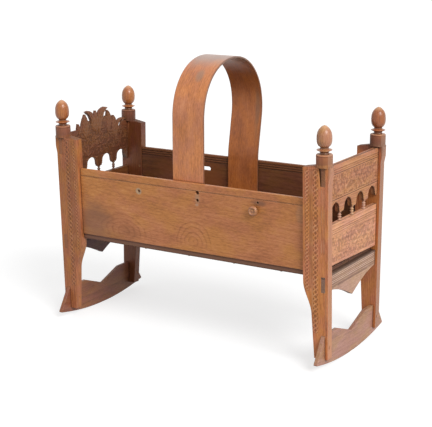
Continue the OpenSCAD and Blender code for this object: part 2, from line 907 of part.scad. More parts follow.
post(head, front);  // head_front_post
post(head, rear);  // head_rear_post
post(foot, front);  // foot_front_post
post(foot, rear);  // foot_rear_post
finial(head, front);  // head_front_finial
finial(head, rear);  // head_rear_finial
finial(foot, front);  // foot_front_finial
finial(foot, rear);  // foot_rear_finial
front_side_board();
rear_side_board();
head_crest_board();
foot_frieze_board();
lower_panel(head, head_sill_z);  // head_lower_panel
lower_panel(foot, foot_sill_z);  // foot_lower_panel
apron(head);  // head_apron
apron(foot);  // foot_apron
spindle(head, 1);  // head_spindle_1
spindle(head, 2);  // head_spindle_2
spindle(head, 3);  // head_spindle_3
spindle(foot, 1);  // foot_spindle_1
spindle(foot, 2);  // foot_spindle_2
spindle(foot, 3);  // foot_spindle_3
rocker(head);  // head_rocker
rocker(foot);  // foot_rocker
floor_board(front);  // front_floor_board
floor_board(rear);  // rear_floor_board
floor_cleat(head);  // head_floor_cleat
floor_cleat(foot);  // foot_floor_cleat
hoop();
lacing_knob();
tenon_wedges(head);  // head_tenon_wedges
tenon_wedges(foot);  // foot_tenon_wedges
rocker_pegs(head);  // head_rocker_pegs
rocker_pegs(foot);  // foot_rocker_pegs
side_board_pegs();
hoop_nails();
floor_nails();
cleat_nails();
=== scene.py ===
import json
import math
import random

import bmesh
import bpy
from mathutils import Matrix, Vector, noise


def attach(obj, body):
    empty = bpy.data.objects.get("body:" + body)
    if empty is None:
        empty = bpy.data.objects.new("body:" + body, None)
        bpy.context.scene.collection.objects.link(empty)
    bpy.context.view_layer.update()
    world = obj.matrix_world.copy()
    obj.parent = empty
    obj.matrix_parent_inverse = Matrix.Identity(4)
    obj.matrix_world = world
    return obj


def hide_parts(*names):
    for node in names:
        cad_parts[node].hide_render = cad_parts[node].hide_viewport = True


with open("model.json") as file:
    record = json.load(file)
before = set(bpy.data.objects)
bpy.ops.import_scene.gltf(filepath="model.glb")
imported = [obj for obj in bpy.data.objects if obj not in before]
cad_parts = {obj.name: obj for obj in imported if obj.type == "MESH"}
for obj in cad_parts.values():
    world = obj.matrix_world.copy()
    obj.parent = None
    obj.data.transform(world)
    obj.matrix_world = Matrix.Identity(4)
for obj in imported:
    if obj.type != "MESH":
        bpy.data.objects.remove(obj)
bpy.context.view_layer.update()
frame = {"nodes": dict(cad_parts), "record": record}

nodes = frame["nodes"]

# Measures shared by several pieces. Sizes are in millimetres, and a finished mesh is scaled to metres.
# The foot end is at +X, the head end at -X, and the front, with the lacing knob, at -Y.
cradle = {
    "outerX": 468.0,         # outer faces of the posts
    "innerX": 390.0,         # their inner edges
    "innerHalf": 154.0,      # posts' inner faces from the middle, at leanHeight
    "leanHeight": 450.0,
    "lean": math.radians(1.4),
    "postThick": 26.0,
    "footWidth": 43.0,       # a post's width at its foot
    "endX": 445.0,           # inner faces of the end boards
    "endThick": 14.0,
    "crestThick": 8.0,       # between the crest's ends
    "sideInset": 3.0,        # from the posts' inner faces out to the side boards'
    "sideThick": 12.0,
    "frontTop": 487.0,
    "rearTop": 499.0,
    "archPitch": 78.0,
    "sills": {"head": 432, "foot": 412},     # tops of the lower panels
}
front, rear = -1, 1
head, foot = -1, 1
sides = {"front": front, "rear": rear}
ends = {"head": head, "foot": foot}
corners = [(f"{endName}_{sideName}", end, side)
           for endName, end in ends.items() for sideName, side in sides.items()]


def innerY(z):
    return cradle["innerHalf"] + math.tan(cradle["lean"]) * (z - cradle["leanHeight"])


def sidePoint(side, x, out, z):
    # out is measured square to the leaning side, from the posts' inner faces
    return Vector((x, side * (innerY(z) + out / math.cos(cradle["lean"])), z))


def sideUp(side):
    return Vector((0, side * math.sin(cradle["lean"]), math.cos(cradle["lean"])))


def sideOut(side):
    return Vector((0, side * math.cos(cradle["lean"]), -math.sin(cradle["lean"])))


def ease(value, low, high):
    t = min(max((value - low) / (high - low), 0.0), 1.0)
    return t * t * (3 - 2 * t)


# Camera, floor and light

cameraSettings = {
    "azimuth": 32.16,        # degrees from the front towards the foot end
    "elevation": 14.29,
    "roll": -0.53,
    "lens": 101.18,
    "distance": 3.7075,
    "aim": (-0.0036, 0.0064, 0.350),   # to the right, up in the picture, and above the floor
}


def placeCamera(s):
    turn = (Matrix.Rotation(math.radians(s["azimuth"]), 4, "Z")
            @ Matrix.Rotation(math.radians(90 - s["elevation"]), 4, "X"))
    right, up, back = (turn.to_3x3().col[i] for i in range(3))
    place = Vector((0, 0, s["aim"][2])) + right * s["aim"][0] + up * s["aim"][1] + back * s["distance"]
    data = bpy.data.cameras.new("camera")
    data.lens = s["lens"]
    data.sensor_width = 36
    data.clip_end = 200
    camera = bpy.data.objects.new("camera", data)
    camera.matrix_world = Matrix.Translation(place) @ turn @ Matrix.Rotation(math.radians(s["roll"]), 4, "Z")
    bpy.context.scene.collection.objects.link(camera)
    bpy.context.scene.camera = camera


placeCamera(cameraSettings)

stageSettings = {
    "floorHalf": 60.0,       # metres
    "floorTone": 0.43,
    "floorLift": 0.67,       # white added for what the camera sees of the floor
    "skyLight": 0.55,
    "keyFrom": (64, 37),     # azimuth from the front towards the foot end, and elevation
    "keyStrength": 2.35,
    "keySoftness": 28,       # degrees across
}


def newNode(tree, kind, inputs=None, **props):
    made = tree.nodes.new(kind)
    for key, value in props.items():
        setattr(made, key, value)
    for key, value in (inputs or {}).items():
        if isinstance(value, bpy.types.NodeSocket):
            tree.links.new(value, made.inputs[key])
        else:
            made.inputs[key].default_value = value
    return made


def calc(tree, operation, a, b=0.0, clamp=False):
    made = newNode(tree, "ShaderNodeMath", {0: a, 1: b}, operation=operation, use_clamp=clamp)
    return made.outputs[0]


def plus(tree, a, b, clamp=False):
    return calc(tree, "ADD", a, b, clamp)


def minus(tree, a, b):
    return calc(tree, "SUBTRACT", a, b)


def times(tree, a, b):
    return calc(tree, "MULTIPLY", a, b)


def newMaterial(name):
    material = bpy.data.materials.new(name)
    material.use_nodes = True
    material.node_tree.nodes.clear()
    return material, material.node_tree


def seenRay(tree):
    path = newNode(tree, "ShaderNodeLightPath")
    seen = calc(tree, "MAXIMUM", path.outputs["Is Camera Ray"], path.outputs["Is Glossy Ray"])
    return calc(tree, "MAXIMUM", seen, path.outputs["Is Transmission Ray"])


def makeStage(s):
    bm = bmesh.new()
    bmesh.ops.create_grid(bm, x_segments=1, y_segments=1, size=s["floorHalf"])
    mesh = bpy.data.meshes.new("floor")
    bm.to_mesh(mesh)
    bm.free()
    floor = bpy.data.objects.new("floor", mesh)
    bpy.context.scene.collection.objects.link(floor)
    material, tree = newMaterial("paleFloor")
    tone = s["floorTone"]
    matt = newNode(tree, "ShaderNodeBsdfDiffuse", {"Color": (tone, tone, tone, 1)})
    lift = newNode(tree, "ShaderNodeEmission",
                   {"Strength": times(tree, seenRay(tree), s["floorLift"])})
    both = newNode(tree, "ShaderNodeAddShader", {0: matt.outputs[0], 1: lift.outputs[0]})
    newNode(tree, "ShaderNodeOutputMaterial", {"Surface": both.outputs[0]})
    mesh.materials.append(material)

    world = bpy.data.worlds.new("studio")
    bpy.context.scene.world = world
    world.use_nodes = True
    tree = world.node_tree
    tree.nodes.clear()
    strength = times(tree, seenRay(tree), 1 - s["skyLight"])
    strength = plus(tree, strength, s["skyLight"])
    sky = newNode(tree, "ShaderNodeBackground", {"Color": (1, 1, 1, 1), "Strength": strength})
    newNode(tree, "ShaderNodeOutputWorld", {"Surface": sky.outputs[0]})

    lamp = bpy.data.lights.new("key", "SUN")
    lamp.energy = s["keyStrength"]
    lamp.angle = math.radians(s["keySoftness"])
    key = bpy.data.objects.new("key", lamp)
    azimuth, elevation = (math.radians(a) for a in s["keyFrom"])
    turn = Matrix.Rotation(azimuth, 4, "Z") @ Matrix.Rotation(math.pi / 2 - elevation, 4, "X")
    key.matrix_world = turn
    bpy.context.scene.collection.objects.link(key)
    bpy.context.scene.view_settings.view_transform = "Standard"


makeStage(stageSettings)
print("camera, floor and light are placed")


# Oak

# which coordinate runs along the grain, across the board and through it; a strap carries its own
grainAxes = {"side": "XZY", "post": "ZXY", "end": "YZX"}
strapAxes = ("strapAlong", "strapAcross", "strapDeep")

# a coordinate's scale is given along the grain, across the board and through it
plainOak = {
    "grain": "side",
    "tones": [(0.20, 0.068, 0.020), (0.50, 0.182, 0.060), (0.68, 0.30, 0.115)],   # dark, middle and light
    "tint": (1, 1, 1),       # what their red, green and blue are multiplied by
    "ochre": (0.56, 0.235, 0.052),   # the two hues that its patches lean to
    "pink": (0.52, 0.185, 0.092),
    "hueShare": 0.55,
    "hueScale": (13.0, 26.0, 26.0),
    "streakScale": (11.0, 300.0, 300.0),
    "fleckScale": (75.0, 330.0, 330.0),
    "fibreScale": (60.0, 1900.0, 1900.0),
    "patchScale": (9.0, 22.0, 22.0),
    "poreScale": (120.0, 1100.0, 1100.0),
    "driftScale": (3.0, 14.0, 14.0),
    "drift": 0.034,          # how far the growth rings wander, metres
    "rings": 0.009,          # their spacing, metres
    "heart": (0.0, -0.09),   # the tree's heart, across and through the board
    "tilt": 0.05,
    "shift": 0.0,            # where in the tree this piece was cut
    "ringShare": 0.16,
    "streakShare": 0.34,
    "fleckShare": 0.30,
    "patchShare": 0.34,
    "fibreShare": 0.15,
    # the colours of worn wood and painted highlights, and of dirt and painted shade
    "wearAndHighlight": (0.78, 0.46, 0.26),
    "dirtAndShade": (0.050, 0.020, 0.010),
    "edgeWear": 0.6,
    "edgeReach": 0.0025,
    # painted shade and dirt: how strongly the corners that ambient occlusion finds are darkened
    "cornerShadeAndDirt": 0.85,
    "cornerReach": 0.007,
    "roughness": 0.46,
    "coat": 0.06,
    "specular": 0.35,
    "bump": 0.35,
    "spots": [],
    "figures": [],           # arched figures where the rings come to the face
    "figureShare": 0.20,
    "cheekSheen": None,           # painted sheen: a paler tone on the outer side faces, beyond some distance from the middle
    "inner": None,           # painted shade: what a strap's inner face is multiplied by
}


def opaque(tone):
    return (*tone, 1)


def attribute(tree, name):
    return newNode(tree, "ShaderNodeAttribute", attribute_name=name).outputs["Fac"]


def mixColour(tree, factor, a, b, blend="MIX"):
    made = newNode(tree, "ShaderNodeMix", {0: factor, 6: a, 7: b}, data_type="RGBA", blend_type=blend)
    return made.outputs[2]


def spread(tree, value, low, high, toLow=0.0, toHigh=1.0):
    # carries low to toLow and high to toHigh, with a soft start and end
    made = newNode(tree, "ShaderNodeMapRange", {0: value, 1: low, 2: high, 3: toLow, 4: toHigh},
                   interpolation_type="SMOOTHSTEP")
    return made.outputs[0]


def grainNoise(tree, parts, scales, detail=2.0, rough=0.5):
    scaled = newNode(tree, "ShaderNodeCombineXYZ", {i: times(tree, parts[i], scales[i])
                                                    for i in range(3)})
    made = newNode(tree, "ShaderNodeTexNoise", {"Vector": scaled.outputs[0], "Scale": 1.0,
                                                "Detail": detail, "Roughness": rough})
    return made.outputs["Fac"]


def hypotenuse(tree, u, v):
    return calc(tree, "SQRT", plus(tree, times(tree, u, u), times(tree, v, v)))


def distanceFrom(tree, across, along, centre, reach):
    # how far a point of a face lies from a centre, in units of reach
    u = calc(tree, "DIVIDE", minus(tree, along, centre[0]), reach[0])
    v = calc(tree, "DIVIDE", minus(tree, across, centre[1]), reach[1])
    return hypotenuse(tree, u, v)


def swing(tree, value, share):
    # how far a noise is from its middle, times a share
    return times(tree, minus(tree, value, 0.5), share)


def ringLines(tree, field, rise, peak):
    # each ring darkens slowly and ends in a sharp pale line
    turn = calc(tree, "FRACT", field)
    return times(tree, spread(tree, turn, rise, peak), spread(tree, turn, peak, 1.0, 1.0, 0.0))


def archedFigure(tree, s, figure, along, across, drift):
    away = distanceFrom(tree, across, along, figure["centre"], figure["reach"])
    away = plus(tree, away, swing(tree, drift, 0.5))
    line = ringLines(tree, times(tree, away, figure["loops"]), 0.45, 0.85)
    inside = spread(tree, away, 0.70, 1.05, s["figureShare"] / s["ringShare"], 0.0)
    # its lower half is fainter
    upper = spread(tree, minus(tree, across, figure["centre"][1]), -0.02, 0.005, 0.25, 1.0)
    inside = times(tree, inside, upper)
    return times(tree, inside, minus(tree, line, 0.25))


def makeOak(name, changes):
    s = {**plainOak, **changes}
    material, tree = newMaterial(name)
    if s["grain"] == "strap":
        parts = [attribute(tree, a) for a in strapAxes]
    else:
        place = newNode(tree, "ShaderNodeTexCoord").outputs["Object"]
        axes = newNode(tree, "ShaderNodeSeparateXYZ", {0: place}).outputs
        parts = [axes["XYZ".index(a)] for a in grainAxes[s["grain"]]]
    along, across, deep = parts
    cut = [plus(tree, along, s["shift"]), across, deep]

    drift = grainNoise(tree, cut, s["driftScale"])
    wander = swing(tree, drift, s["drift"])
    sideways = plus(tree, minus(tree, across, s["heart"][0]), times(tree, cut[0], s["tilt"]))
    inward = minus(tree, deep, s["heart"][1])
    radius = hypotenuse(tree, sideways, inward)
    ring = ringLines(tree, calc(tree, "DIVIDE", plus(tree, radius, wander), s["rings"]), 0.35, 0.90)
    for figure in s["figures"]:
        ring = plus(tree, ring, archedFigure(tree, s, figure, along, across, drift))

    streak = grainNoise(tree, cut, s["streakScale"], 3.0, 0.6)
    fleck = grainNoise(tree, cut, s["fleckScale"], 2.0, 0.55)
    fibre = grainNoise(tree, cut, s["fibreScale"], 2.0, 0.6)
    patch = grainNoise(tree, cut, s["patchScale"], 3.0, 0.55)
    elsewhere = [plus(tree, p, 3.3) for p in cut]
    hue = grainNoise(tree, elsewhere, s["hueScale"], 3.0, 0.6)
    pore = spread(tree, grainNoise(tree, cut, s["poreScale"], 1.0), 0.62, 0.72)

    tone = times(tree, minus(tree, 0.3, ring), s["ringShare"])
    for value, share in ((streak, "streakShare"), (fleck, "fleckShare"), (patch, "patchShare"),
                         (fibre, "fibreShare")):
        tone = plus(tree, tone, swing(tree, value, s[share] * 2))
    tone = plus(tree, tone, 0.5, clamp=True)
    ramp = newNode(tree, "ShaderNodeValToRGB", {0: tone})
    tones = [tuple(c * k for c, k in zip(row, s["tint"])) for row in s["tones"]]
    for i, colour in enumerate(tones):
        stop = ramp.color_ramp.elements[i] if i < 2 else ramp.color_ramp.elements.new(1.0)
        stop.position = i / 2
        stop.color = opaque(colour)
    hues = [tuple(c / middle for c, middle in zip(s[name], plainOak["tones"][1]))
            for name in ("ochre", "pink")]
    tint = mixColour(tree, spread(tree, hue, 0.36, 0.64), opaque(hues[0]), opaque(hues[1]))
    colour = mixColour(tree, s["hueShare"], ramp.outputs[0],
                       mixColour(tree, 1.0, ramp.outputs[0], tint, "MULTIPLY"))
    colour = mixColour(tree, times(tree, pore, 0.5), colour, opaque(tones[0]))

    for mark in s["spots"]:
        away = distanceFrom(tree, across, along, mark["centre"], mark["reach"])
        away = plus(tree, away, swing(tree, patch, mark["ragged"]))
        inside = spread(tree, away, mark["core"], 1.0, mark["strength"], 0.0)
        colour = mixColour(tree, inside, colour, opaque(mark["tone"]))

    # painted shade and dirt in corners and recesses, from ambient occlusion and from the vertices; light worn
    # wood on arrises, and worn wood with a painted highlight on carved tops
    dirtAndShade = attribute(tree, "dirtAndShade")
    wearAndHighlight = attribute(tree, "wearAndHighlight")
    occlusion = newNode(tree, "ShaderNodeAmbientOcclusion", {"Distance": s["cornerReach"]}, samples=8)
    corner = occlusion.outputs["AO"]
    shadeAndGrime = times(tree, spread(tree, corner, 0.30, 0.85, 1.0, 0.0), s["cornerShadeAndDirt"])
    shadeAndGrime = calc(tree, "MAXIMUM", shadeAndGrime, dirtAndShade)
    colour = mixColour(tree, shadeAndGrime, colour, opaque(s["dirtAndShade"]))
    geometry = newNode(tree, "ShaderNodeNewGeometry").outputs["Normal"]
    soft = newNode(tree, "ShaderNodeBevel", {"Radius": s["edgeReach"]}, samples=6).outputs[0]
    facing = newNode(tree, "ShaderNodeVectorMath", {0: soft, 1: geometry}, operation="DOT_PRODUCT")
    edge = spread(tree, facing.outputs["Value"], 0.80, 0.985, 1.0, 0.0)
    edge = times(tree, edge, spread(tree, streak, 0.35, 0.6, 0.25, 1.0))
    edge = times(tree, edge, s["edgeWear"])
    edge = times(tree, edge, spread(tree, corner, 0.45, 0.8))
    colour = mixColour(tree, calc(tree, "MAXIMUM", edge, wearAndHighlight), colour, opaque(s["wearAndHighlight"]))
    # painted sheen: the outer side faces are given a paler tone
    if s["cheekSheen"]:
        start = s["cheekSheen"]["from"]
        outside = spread(tree, calc(tree, "ABSOLUTE", axes["X"]), start, start + 0.0004)
        outside = times(tree, outside, s["cheekSheen"]["share"])
        colour = mixColour(tree, outside, colour, opaque(s["cheekSheen"]["tone"]))
    # painted shade: the strap's inner face is darkened
    if s["inner"]:
        colour = mixColour(tree, spread(tree, deep, -0.001, 0.001, 1.0, 0.0), colour,
                           mixColour(tree, 1.0, colour, opaque(s["inner"]), "MULTIPLY"))

    sheenless = plus(tree, times(tree, streak, 0.22), s["roughness"] - 0.11)
    sheenless = plus(tree, sheenless, times(tree, shadeAndGrime, 0.2), clamp=True)
    relief = minus(tree, times(tree, streak, 0.5), times(tree, ring, 0.2))
    relief = plus(tree, relief, times(tree, fleck, 0.3))
    relief = plus(tree, relief, times(tree, fibre, 0.35))
    relief = minus(tree, relief, times(tree, pore, 0.6))
    bump = newNode(tree, "ShaderNodeBump", {"Strength": s["bump"], "Distance": 0.0006, "Height": relief})
    shader = newNode(tree, "ShaderNodeBsdfPrincipled", {
        "Base Color": colour, "Roughness": sheenless, "Normal": bump.outputs[0],
        "Coat Weight": s["coat"], "Coat Roughness": 0.3, "Specular IOR Level": s["specular"]})
    newNode(tree, "ShaderNodeOutputMaterial", {"Surface": shader.outputs[0]})
    return material


def makeIron():
    material, tree = newMaterial("forgedIron")
    place = newNode(tree, "ShaderNodeTexCoord").outputs["Object"]
    speckle = newNode(tree, "ShaderNodeTexNoise", {"Vector": place, "Scale": 420.0, "Detail": 4.0})
    grain = speckle.outputs["Fac"]
    rust = spread(tree, grain, 0.42, 0.66)
    colour = mixColour(tree, rust, (0.045, 0.038, 0.034, 1), (0.13, 0.055, 0.025, 1))
    bump = newNode(tree, "ShaderNodeBump", {"Strength": 0.4, "Distance": 0.0004, "Height": grain})
    shader = newNode(tree, "ShaderNodeBsdfPrincipled", {
        "Base Color": colour, "Roughness": spread(tree, grain, 0.3, 0.7, 0.45, 0.75),
        "Metallic": 0.6, "Normal": bump.outputs[0]})
    newNode(tree, "ShaderNodeOutputMaterial", {"Surface": shader.outputs[0]})
    return material


def spot(centre, reach, tone, strength, core=0.3, ragged=0.8):
    # a place of another colour, a stain or a painted patch of light or shade: its centre along and across the
    # grain and how far it reaches, in metres, its tone and strength, the share of its reach that is at full
    # strength, and how ragged its edge is
    return {"centre": centre, "reach": reach, "tone": tone, "strength": strength, "core": core,
            "ragged": ragged}


# painted light: the head end's tenons show in the front posts' faces, which have more light than the boards
# inside, so their ends are painted lighter
headTenons = spot((-0.1825, 0.40), (0.012, 8.0), (0.33, 0.125, 0.055), 0.92, 0.8, 0.2)
lightPost = {"grain": "post", "rings": 0.007, "streakShare": 0.42, "heart": (0.30, 0.05)}
finial = {"grain": "post", "rings": 0.006, "heart": (0.20, 0.1), "edgeWear": 0.2}
oaks = {
    "frontBoardOak": {
        "heart": (0.50, -0.08), "tilt": 0.07, "hueShare": 0.40, "hueScale": (9.0, 14.0, 14.0),
        "streakScale": (26.0, 260.0, 260.0), "streakShare": 0.20, "fleckShare": 0.34, "ringShare": 0.10,
        "figures": [{"centre": (-0.232, 0.306), "reach": (0.110, 0.082), "loops": 5.3},
                    {"centre": (0.020, 0.312), "reach": (0.075, 0.080), "loops": 5.0}],
        "spots": [spot((-0.390, 0.270), (0.34, 0.16), (0.20, 0.075, 0.030), 0.45),
                  spot((-0.345, 0.320), (0.085, 0.10), (0.22, 0.105, 0.070), 0.45),
                  spot((-0.171, 0.441), (0.0125, 0.0115), (0.46, 0.32, 0.20), 0.85, 0.7, 0.5),
                  spot((0.038, 0.449), (0.011, 0.024), (0.42, 0.26, 0.16), 0.6, ragged=1.4),
                  spot((0.036, 0.424), (0.007, 0.005), (0.48, 0.32, 0.22), 0.6, 0.4),
                  spot((0.245, 0.455), (0.030, 0.011), (0.17, 0.08, 0.05), 0.65),
                  spot((0.375, 0.440), (0.016, 0.040), (0.50, 0.30, 0.20), 0.25)]},
    # painted shade: the rear board's inside is a darkened copy of the boards' oak
    "shadedRearBoardOak": {
        "tint": (0.32, 0.29, 0.32), "shift": 1.7, "heart": (0.42, 0.30),
        "wearAndHighlight": (0.30, 0.14, 0.07), "roughness": 0.55, "streakScale": (20.0, 260.0, 260.0),
        # painted light along its top and left of the middle, and painted shade towards the foot end
        "spots": [spot((0.0, 0.492), (8.0, 0.017), (0.26, 0.095, 0.032), 0.55, 0.7, 0.3),
                  spot((-0.125, 0.400), (0.075, 0.10), (0.24, 0.075, 0.020), 0.7),
                  spot((-0.290, 0.440), (0.055, 0.035), (0.22, 0.075, 0.022), 0.5),
                  spot((0.40, 0.43), (0.085, 0.10), (0.05, 0.022, 0.014), 0.7)]},
    "footPostOak": {
        **lightPost, "tint": (1.10, 1.00, 1.02), "shift": 0.6,
        # painted sheen on the post's outer side face
        "cheekSheen": {"from": 0.4676, "tone": (0.44, 0.245, 0.155), "share": 0.45},
        "spots": [spot((0.606, 0.450), (0.019, 0.06), (0.26, 0.085, 0.045), 0.62, 0.8, 0.3)]},
    "footRearPostOak": {
        **lightPost, "tint": (0.92, 0.80, 0.80), "shift": 0.9,
        # painted sheen on the post's outer side face
        "cheekSheen": {"from": 0.4676, "tone": (0.33, 0.19, 0.13), "share": 0.6},
        "spots": [spot((0.592, 0.430), (0.042, 0.06), (0.15, 0.05, 0.032), 0.7, 0.6, 0.4)]},
    "headPostOak": {
        **lightPost, "tint": (0.78, 0.70, 0.68), "shift": 1.6, "wearAndHighlight": (0.55, 0.28, 0.15),
        "spots": [spot((0.606, -0.450), (0.019, 0.06), (0.24, 0.085, 0.055), 0.6, 0.8, 0.3)]},
    # painted shade: a darkened copy of the posts' oak
    "shadedPostOak": {
        **lightPost, "tint": (0.36, 0.28, 0.30), "streakShare": 0.34, "heart": (0.30, 0.25), "shift": 2.6,
        "wearAndHighlight": (0.40, 0.20, 0.11)},
    "friezeOak": {
        "grain": "end", "tint": (0.98, 1.05, 1.35), "heart": (0.35, 0.30), "shift": 0.3,
        "wearAndHighlight": (0.78, 0.50, 0.34), "roughness": 0.55, "hueShare": 0.35},
    "panelOak": {
        "grain": "end", "tint": (1.30, 1.56, 2.5), "heart": (0.25, 0.30), "shift": 1.3,
        "wearAndHighlight": (0.85, 0.62, 0.48), "roughness": 0.55, "hueShare": 0.25},
    "apronOak": {
        "grain": "end", "tint": (0.98, 1.52, 3.0), "heart": (0.25, 0.30), "shift": 2.3,
        "wearAndHighlight": (0.85, 0.60, 0.47), "roughness": 0.55, "hueShare": 0.2, "ringShare": 0.04,
        # painted shade along the apron's top, under the lower panel
        "spots": [spot((0.0, 0.270), (8.0, 0.008), (0.10, 0.062, 0.045), 0.75, 0.4, 0.6)]},
    # painted shade: the head apron's inside is a darkened copy of the apron's oak
    "shadedHeadApronOak": {
        "grain": "end", "tint": (0.27, 0.30, 0.68), "heart": (0.25, 0.30), "shift": 2.3,
        "wearAndHighlight": (0.35, 0.24, 0.18), "roughness": 0.6, "spots": [headTenons]},
    "crestOak": {
        "grain": "end", "tint": (0.33, 0.28, 0.28), "heart": (0.45, -0.30), "shift": 2.4,
        "wearAndHighlight": (0.36, 0.18, 0.09), "roughness": 0.5, "hueShare": 0.5, "streakShare": 0.15,
        "spots": [headTenons, spot((0.145, 0.462), (0.006, 0.034), (0.15, 0.095, 0.07), 0.8, 0.7, 0.3)]},
    "footRockerOak": {
        "grain": "end", "tint": (0.80, 1.05, 1.9), "heart": (0.02, 0.30), "shift": 3.1,
        "hueShare": 0.4, "ringShare": 0.1},
    # painted shade: the head rocker is a darkened copy of the rocker's oak
    "shadedHeadRockerOak": {
        "grain": "end", "tint": (0.49, 0.45, 0.60), "heart": (0.02, 0.30), "shift": 4.1},
    "floorOak": {
        "tint": (0.27, 0.30, 0.5), "heart": (0.1, -0.1), "shift": 4.0, "roughness": 0.65,
        "spots": [spot((0.0, 0.2705), (8.0, 0.0045), (0.20, 0.095, 0.055), 0.7, 0.5, 0.5)]},
    "paleFinialOak": {
        **finial, "tint": (0.86, 0.95, 1.2), "shift": 5.0, "roughness": 0.30, "coat": 0.35},
    "redFinialOak": {
        **finial, "tint": (0.74, 0.62, 0.55), "shift": 5.6, "roughness": 0.28, "coat": 0.4},
    "spindleOak": {"grain": "post", "tint": (1.1, 1.6, 2.6), "shift": 6.0, "roughness": 0.4},
    # painted shade: the head spindles are a darkened copy of the spindles' oak
    "darkSpindleOak": {"grain": "post", "tint": (0.40, 0.55, 0.9), "shift": 6.0, "roughness": 0.4},
    "hoopWood": {
        "grain": "strap", "tint": (1.16, 1.16, 1.30), "rings": 0.008,
        "ochre": (0.60, 0.215, 0.060), "pink": (0.47, 0.175, 0.085),
        "heart": (0.4, 0.0), "shift": 7.0, "roughness": 0.36, "coat": 0.15, "tilt": 0.01,
        "streakScale": (22.0, 170.0, 170.0), "fleckShare": 0.34, "streakShare": 0.22,
        "hueScale": (11.0, 17.0, 17.0), "edgeWear": 0.0,
        "inner": (0.76, 0.66, 0.48), "ringShare": 0.06, "patchShare": 0.36,
        # the first two are a painted sheen near the hoop's top
        "spots": [spot((0.655, 0.0), (0.115, 0.20), (0.40, 0.31, 0.27), 0.75, 0.35, 0.5),
                  spot((0.525, 0.012), (0.030, 0.018), (0.30, 0.20, 0.15), 0.6),
                  spot((0.93, 0.040), (0.12, 0.014), (0.30, 0.20, 0.16), 0.5, ragged=1.2),
                  spot((0.0, 0.0545), (9.0, 0.0035), (0.16, 0.07, 0.045), 0.7, ragged=0.6),
                  spot((0.0, -0.0545), (9.0, 0.0035), (0.16, 0.07, 0.045), 0.7, ragged=0.6)]},
    "knobOak": {"tint": (0.85, 0.95, 1.2), "shift": 9.0, "roughness": 0.3, "coat": 0.3},
    "pegWood": {"grain": "post", "tint": (0.45, 0.48, 0.6), "shift": 8.0},
}
materials = {name: makeOak(name, changes) for name, changes in oaks.items()}
materials["forgedIron"] = makeIron()

# each node's finish, and the finishes of nodes that have none of their own
finishes = {
    "front_side_board": "frontBoardOak", "rear_side_board": "shadedRearBoardOak",
    "foot_front_post": "footPostOak", "foot_rear_post": "footRearPostOak",
    "head_front_post": "headPostOak", "head_rear_post": "shadedPostOak",
    "foot_front_finial": "paleFinialOak", "foot_rear_finial": "redFinialOak",
    "head_front_finial": "redFinialOak", "head_rear_finial": "redFinialOak",
    "head_crest_board": "crestOak", "foot_frieze_board": "friezeOak",
    "foot_lower_panel": "panelOak", "head_lower_panel": "crestOak",
    "foot_apron": "apronOak", "head_apron": "shadedHeadApronOak",
    "foot_rocker": "footRockerOak", "head_rocker": "shadedHeadRockerOak",
    "hoop": "hoopWood", "lacing_knob": "knobOak", "foot_rocker_pegs": "footPostOak",
    "head_rocker_pegs": "headPostOak", "head_tenon_wedges": "headPostOak",
}
slotFinishes = {"spindle_oak": "spindleOak", "floor_oak": "floorOak", "peg_wood": "pegWood",
                "nail_iron": "forgedIron"}
slotOf = {row["node"]: row["material_slot"] for row in frame["record"]["subparts"]}
for node, slot in slotOf.items():
    if node not in finishes:
        finishes[node] = "darkSpindleOak" if node.startswith("head_spindle") else slotFinishes[slot]
    mesh = nodes[node].data
    mesh.materials.clear()
    mesh.materials.append(materials[finishes[node]])
print("materials are made")


# Making pieces

def wearAndShadeLayers(bm):
    # the dirt and painted shade, and the worn light wood and painted highlights, that the oak shows at each
    # vertex
    for name in ("dirtAndShade", "wearAndHighlight"):
        bm.verts.layers.float.new(name)
    return bm.verts.layers.float["dirtAndShade"], bm.verts.layers.float["wearAndHighlight"]


def takeNode(name):
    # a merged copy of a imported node, in millimetres
    bm = bmesh.new()
    bm.from_mesh(nodes[name].data)
    bmesh.ops.scale(bm, vec=(1000, 1000, 1000), verts=bm.verts)
    bmesh.ops.remove_doubles(bm, verts=bm.verts, dist=0.002)
    bmesh.ops.dissolve_limit(bm, angle_limit=math.radians(0.4), verts=bm.verts[:], edges=bm.edges[:])
    wearAndShadeLayers(bm)
    return bm


def softenEdges(bm, width, segments=2, sharpest=28, leave=None):
    sharp = [e for e in bm.edges if e.is_manifold and e.calc_face_angle(0) > math.radians(sharpest)
             and e.calc_length() > width * 0.5 and not (leave and all(leave(v.co) for v in e.verts))]
    bmesh.ops.bevel(bm, geom=sharp, offset=width, offset_type="OFFSET", segments=segments, profile=0.5,
                    affect="EDGES", clamp_overlap=False, material=-1)


def darken(bm, darkAt):
    # dirt that has settled on some places of a piece, and painted shade in grooves and along the aprons' tops
    dirtAndShade = bm.verts.layers.float["dirtAndShade"]
    for vert in bm.verts:
        vert[dirtAndShade] = max(vert[dirtAndShade], darkAt(vert.co))


def joinInto(bm, *others):
    for other in others:
        mesh = bpy.data.meshes.new("part")
        other.to_mesh(mesh)
        other.free()
        bm.from_mesh(mesh)
        bpy.data.meshes.remove(mesh)


def finishPiece(bm, name, node, smoothBelow=38):
    bmesh.ops.scale(bm, vec=(0.001, 0.001, 0.001), verts=bm.verts)
    mesh = bpy.data.meshes.new(name)
    bm.to_mesh(mesh)
    bm.free()
    mesh.shade_smooth()
    mesh.set_sharp_from_angle(angle=math.radians(smoothBelow))
    mesh.materials.append(materials[finishes[node]])
    piece = bpy.data.objects.new(name, mesh)
    bpy.context.scene.collection.objects.link(piece)
    even = piece.modifiers.new("evenNormals", "WEIGHTED_NORMAL")
    even.keep_sharp = True
    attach(piece, "root")
    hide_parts(node)


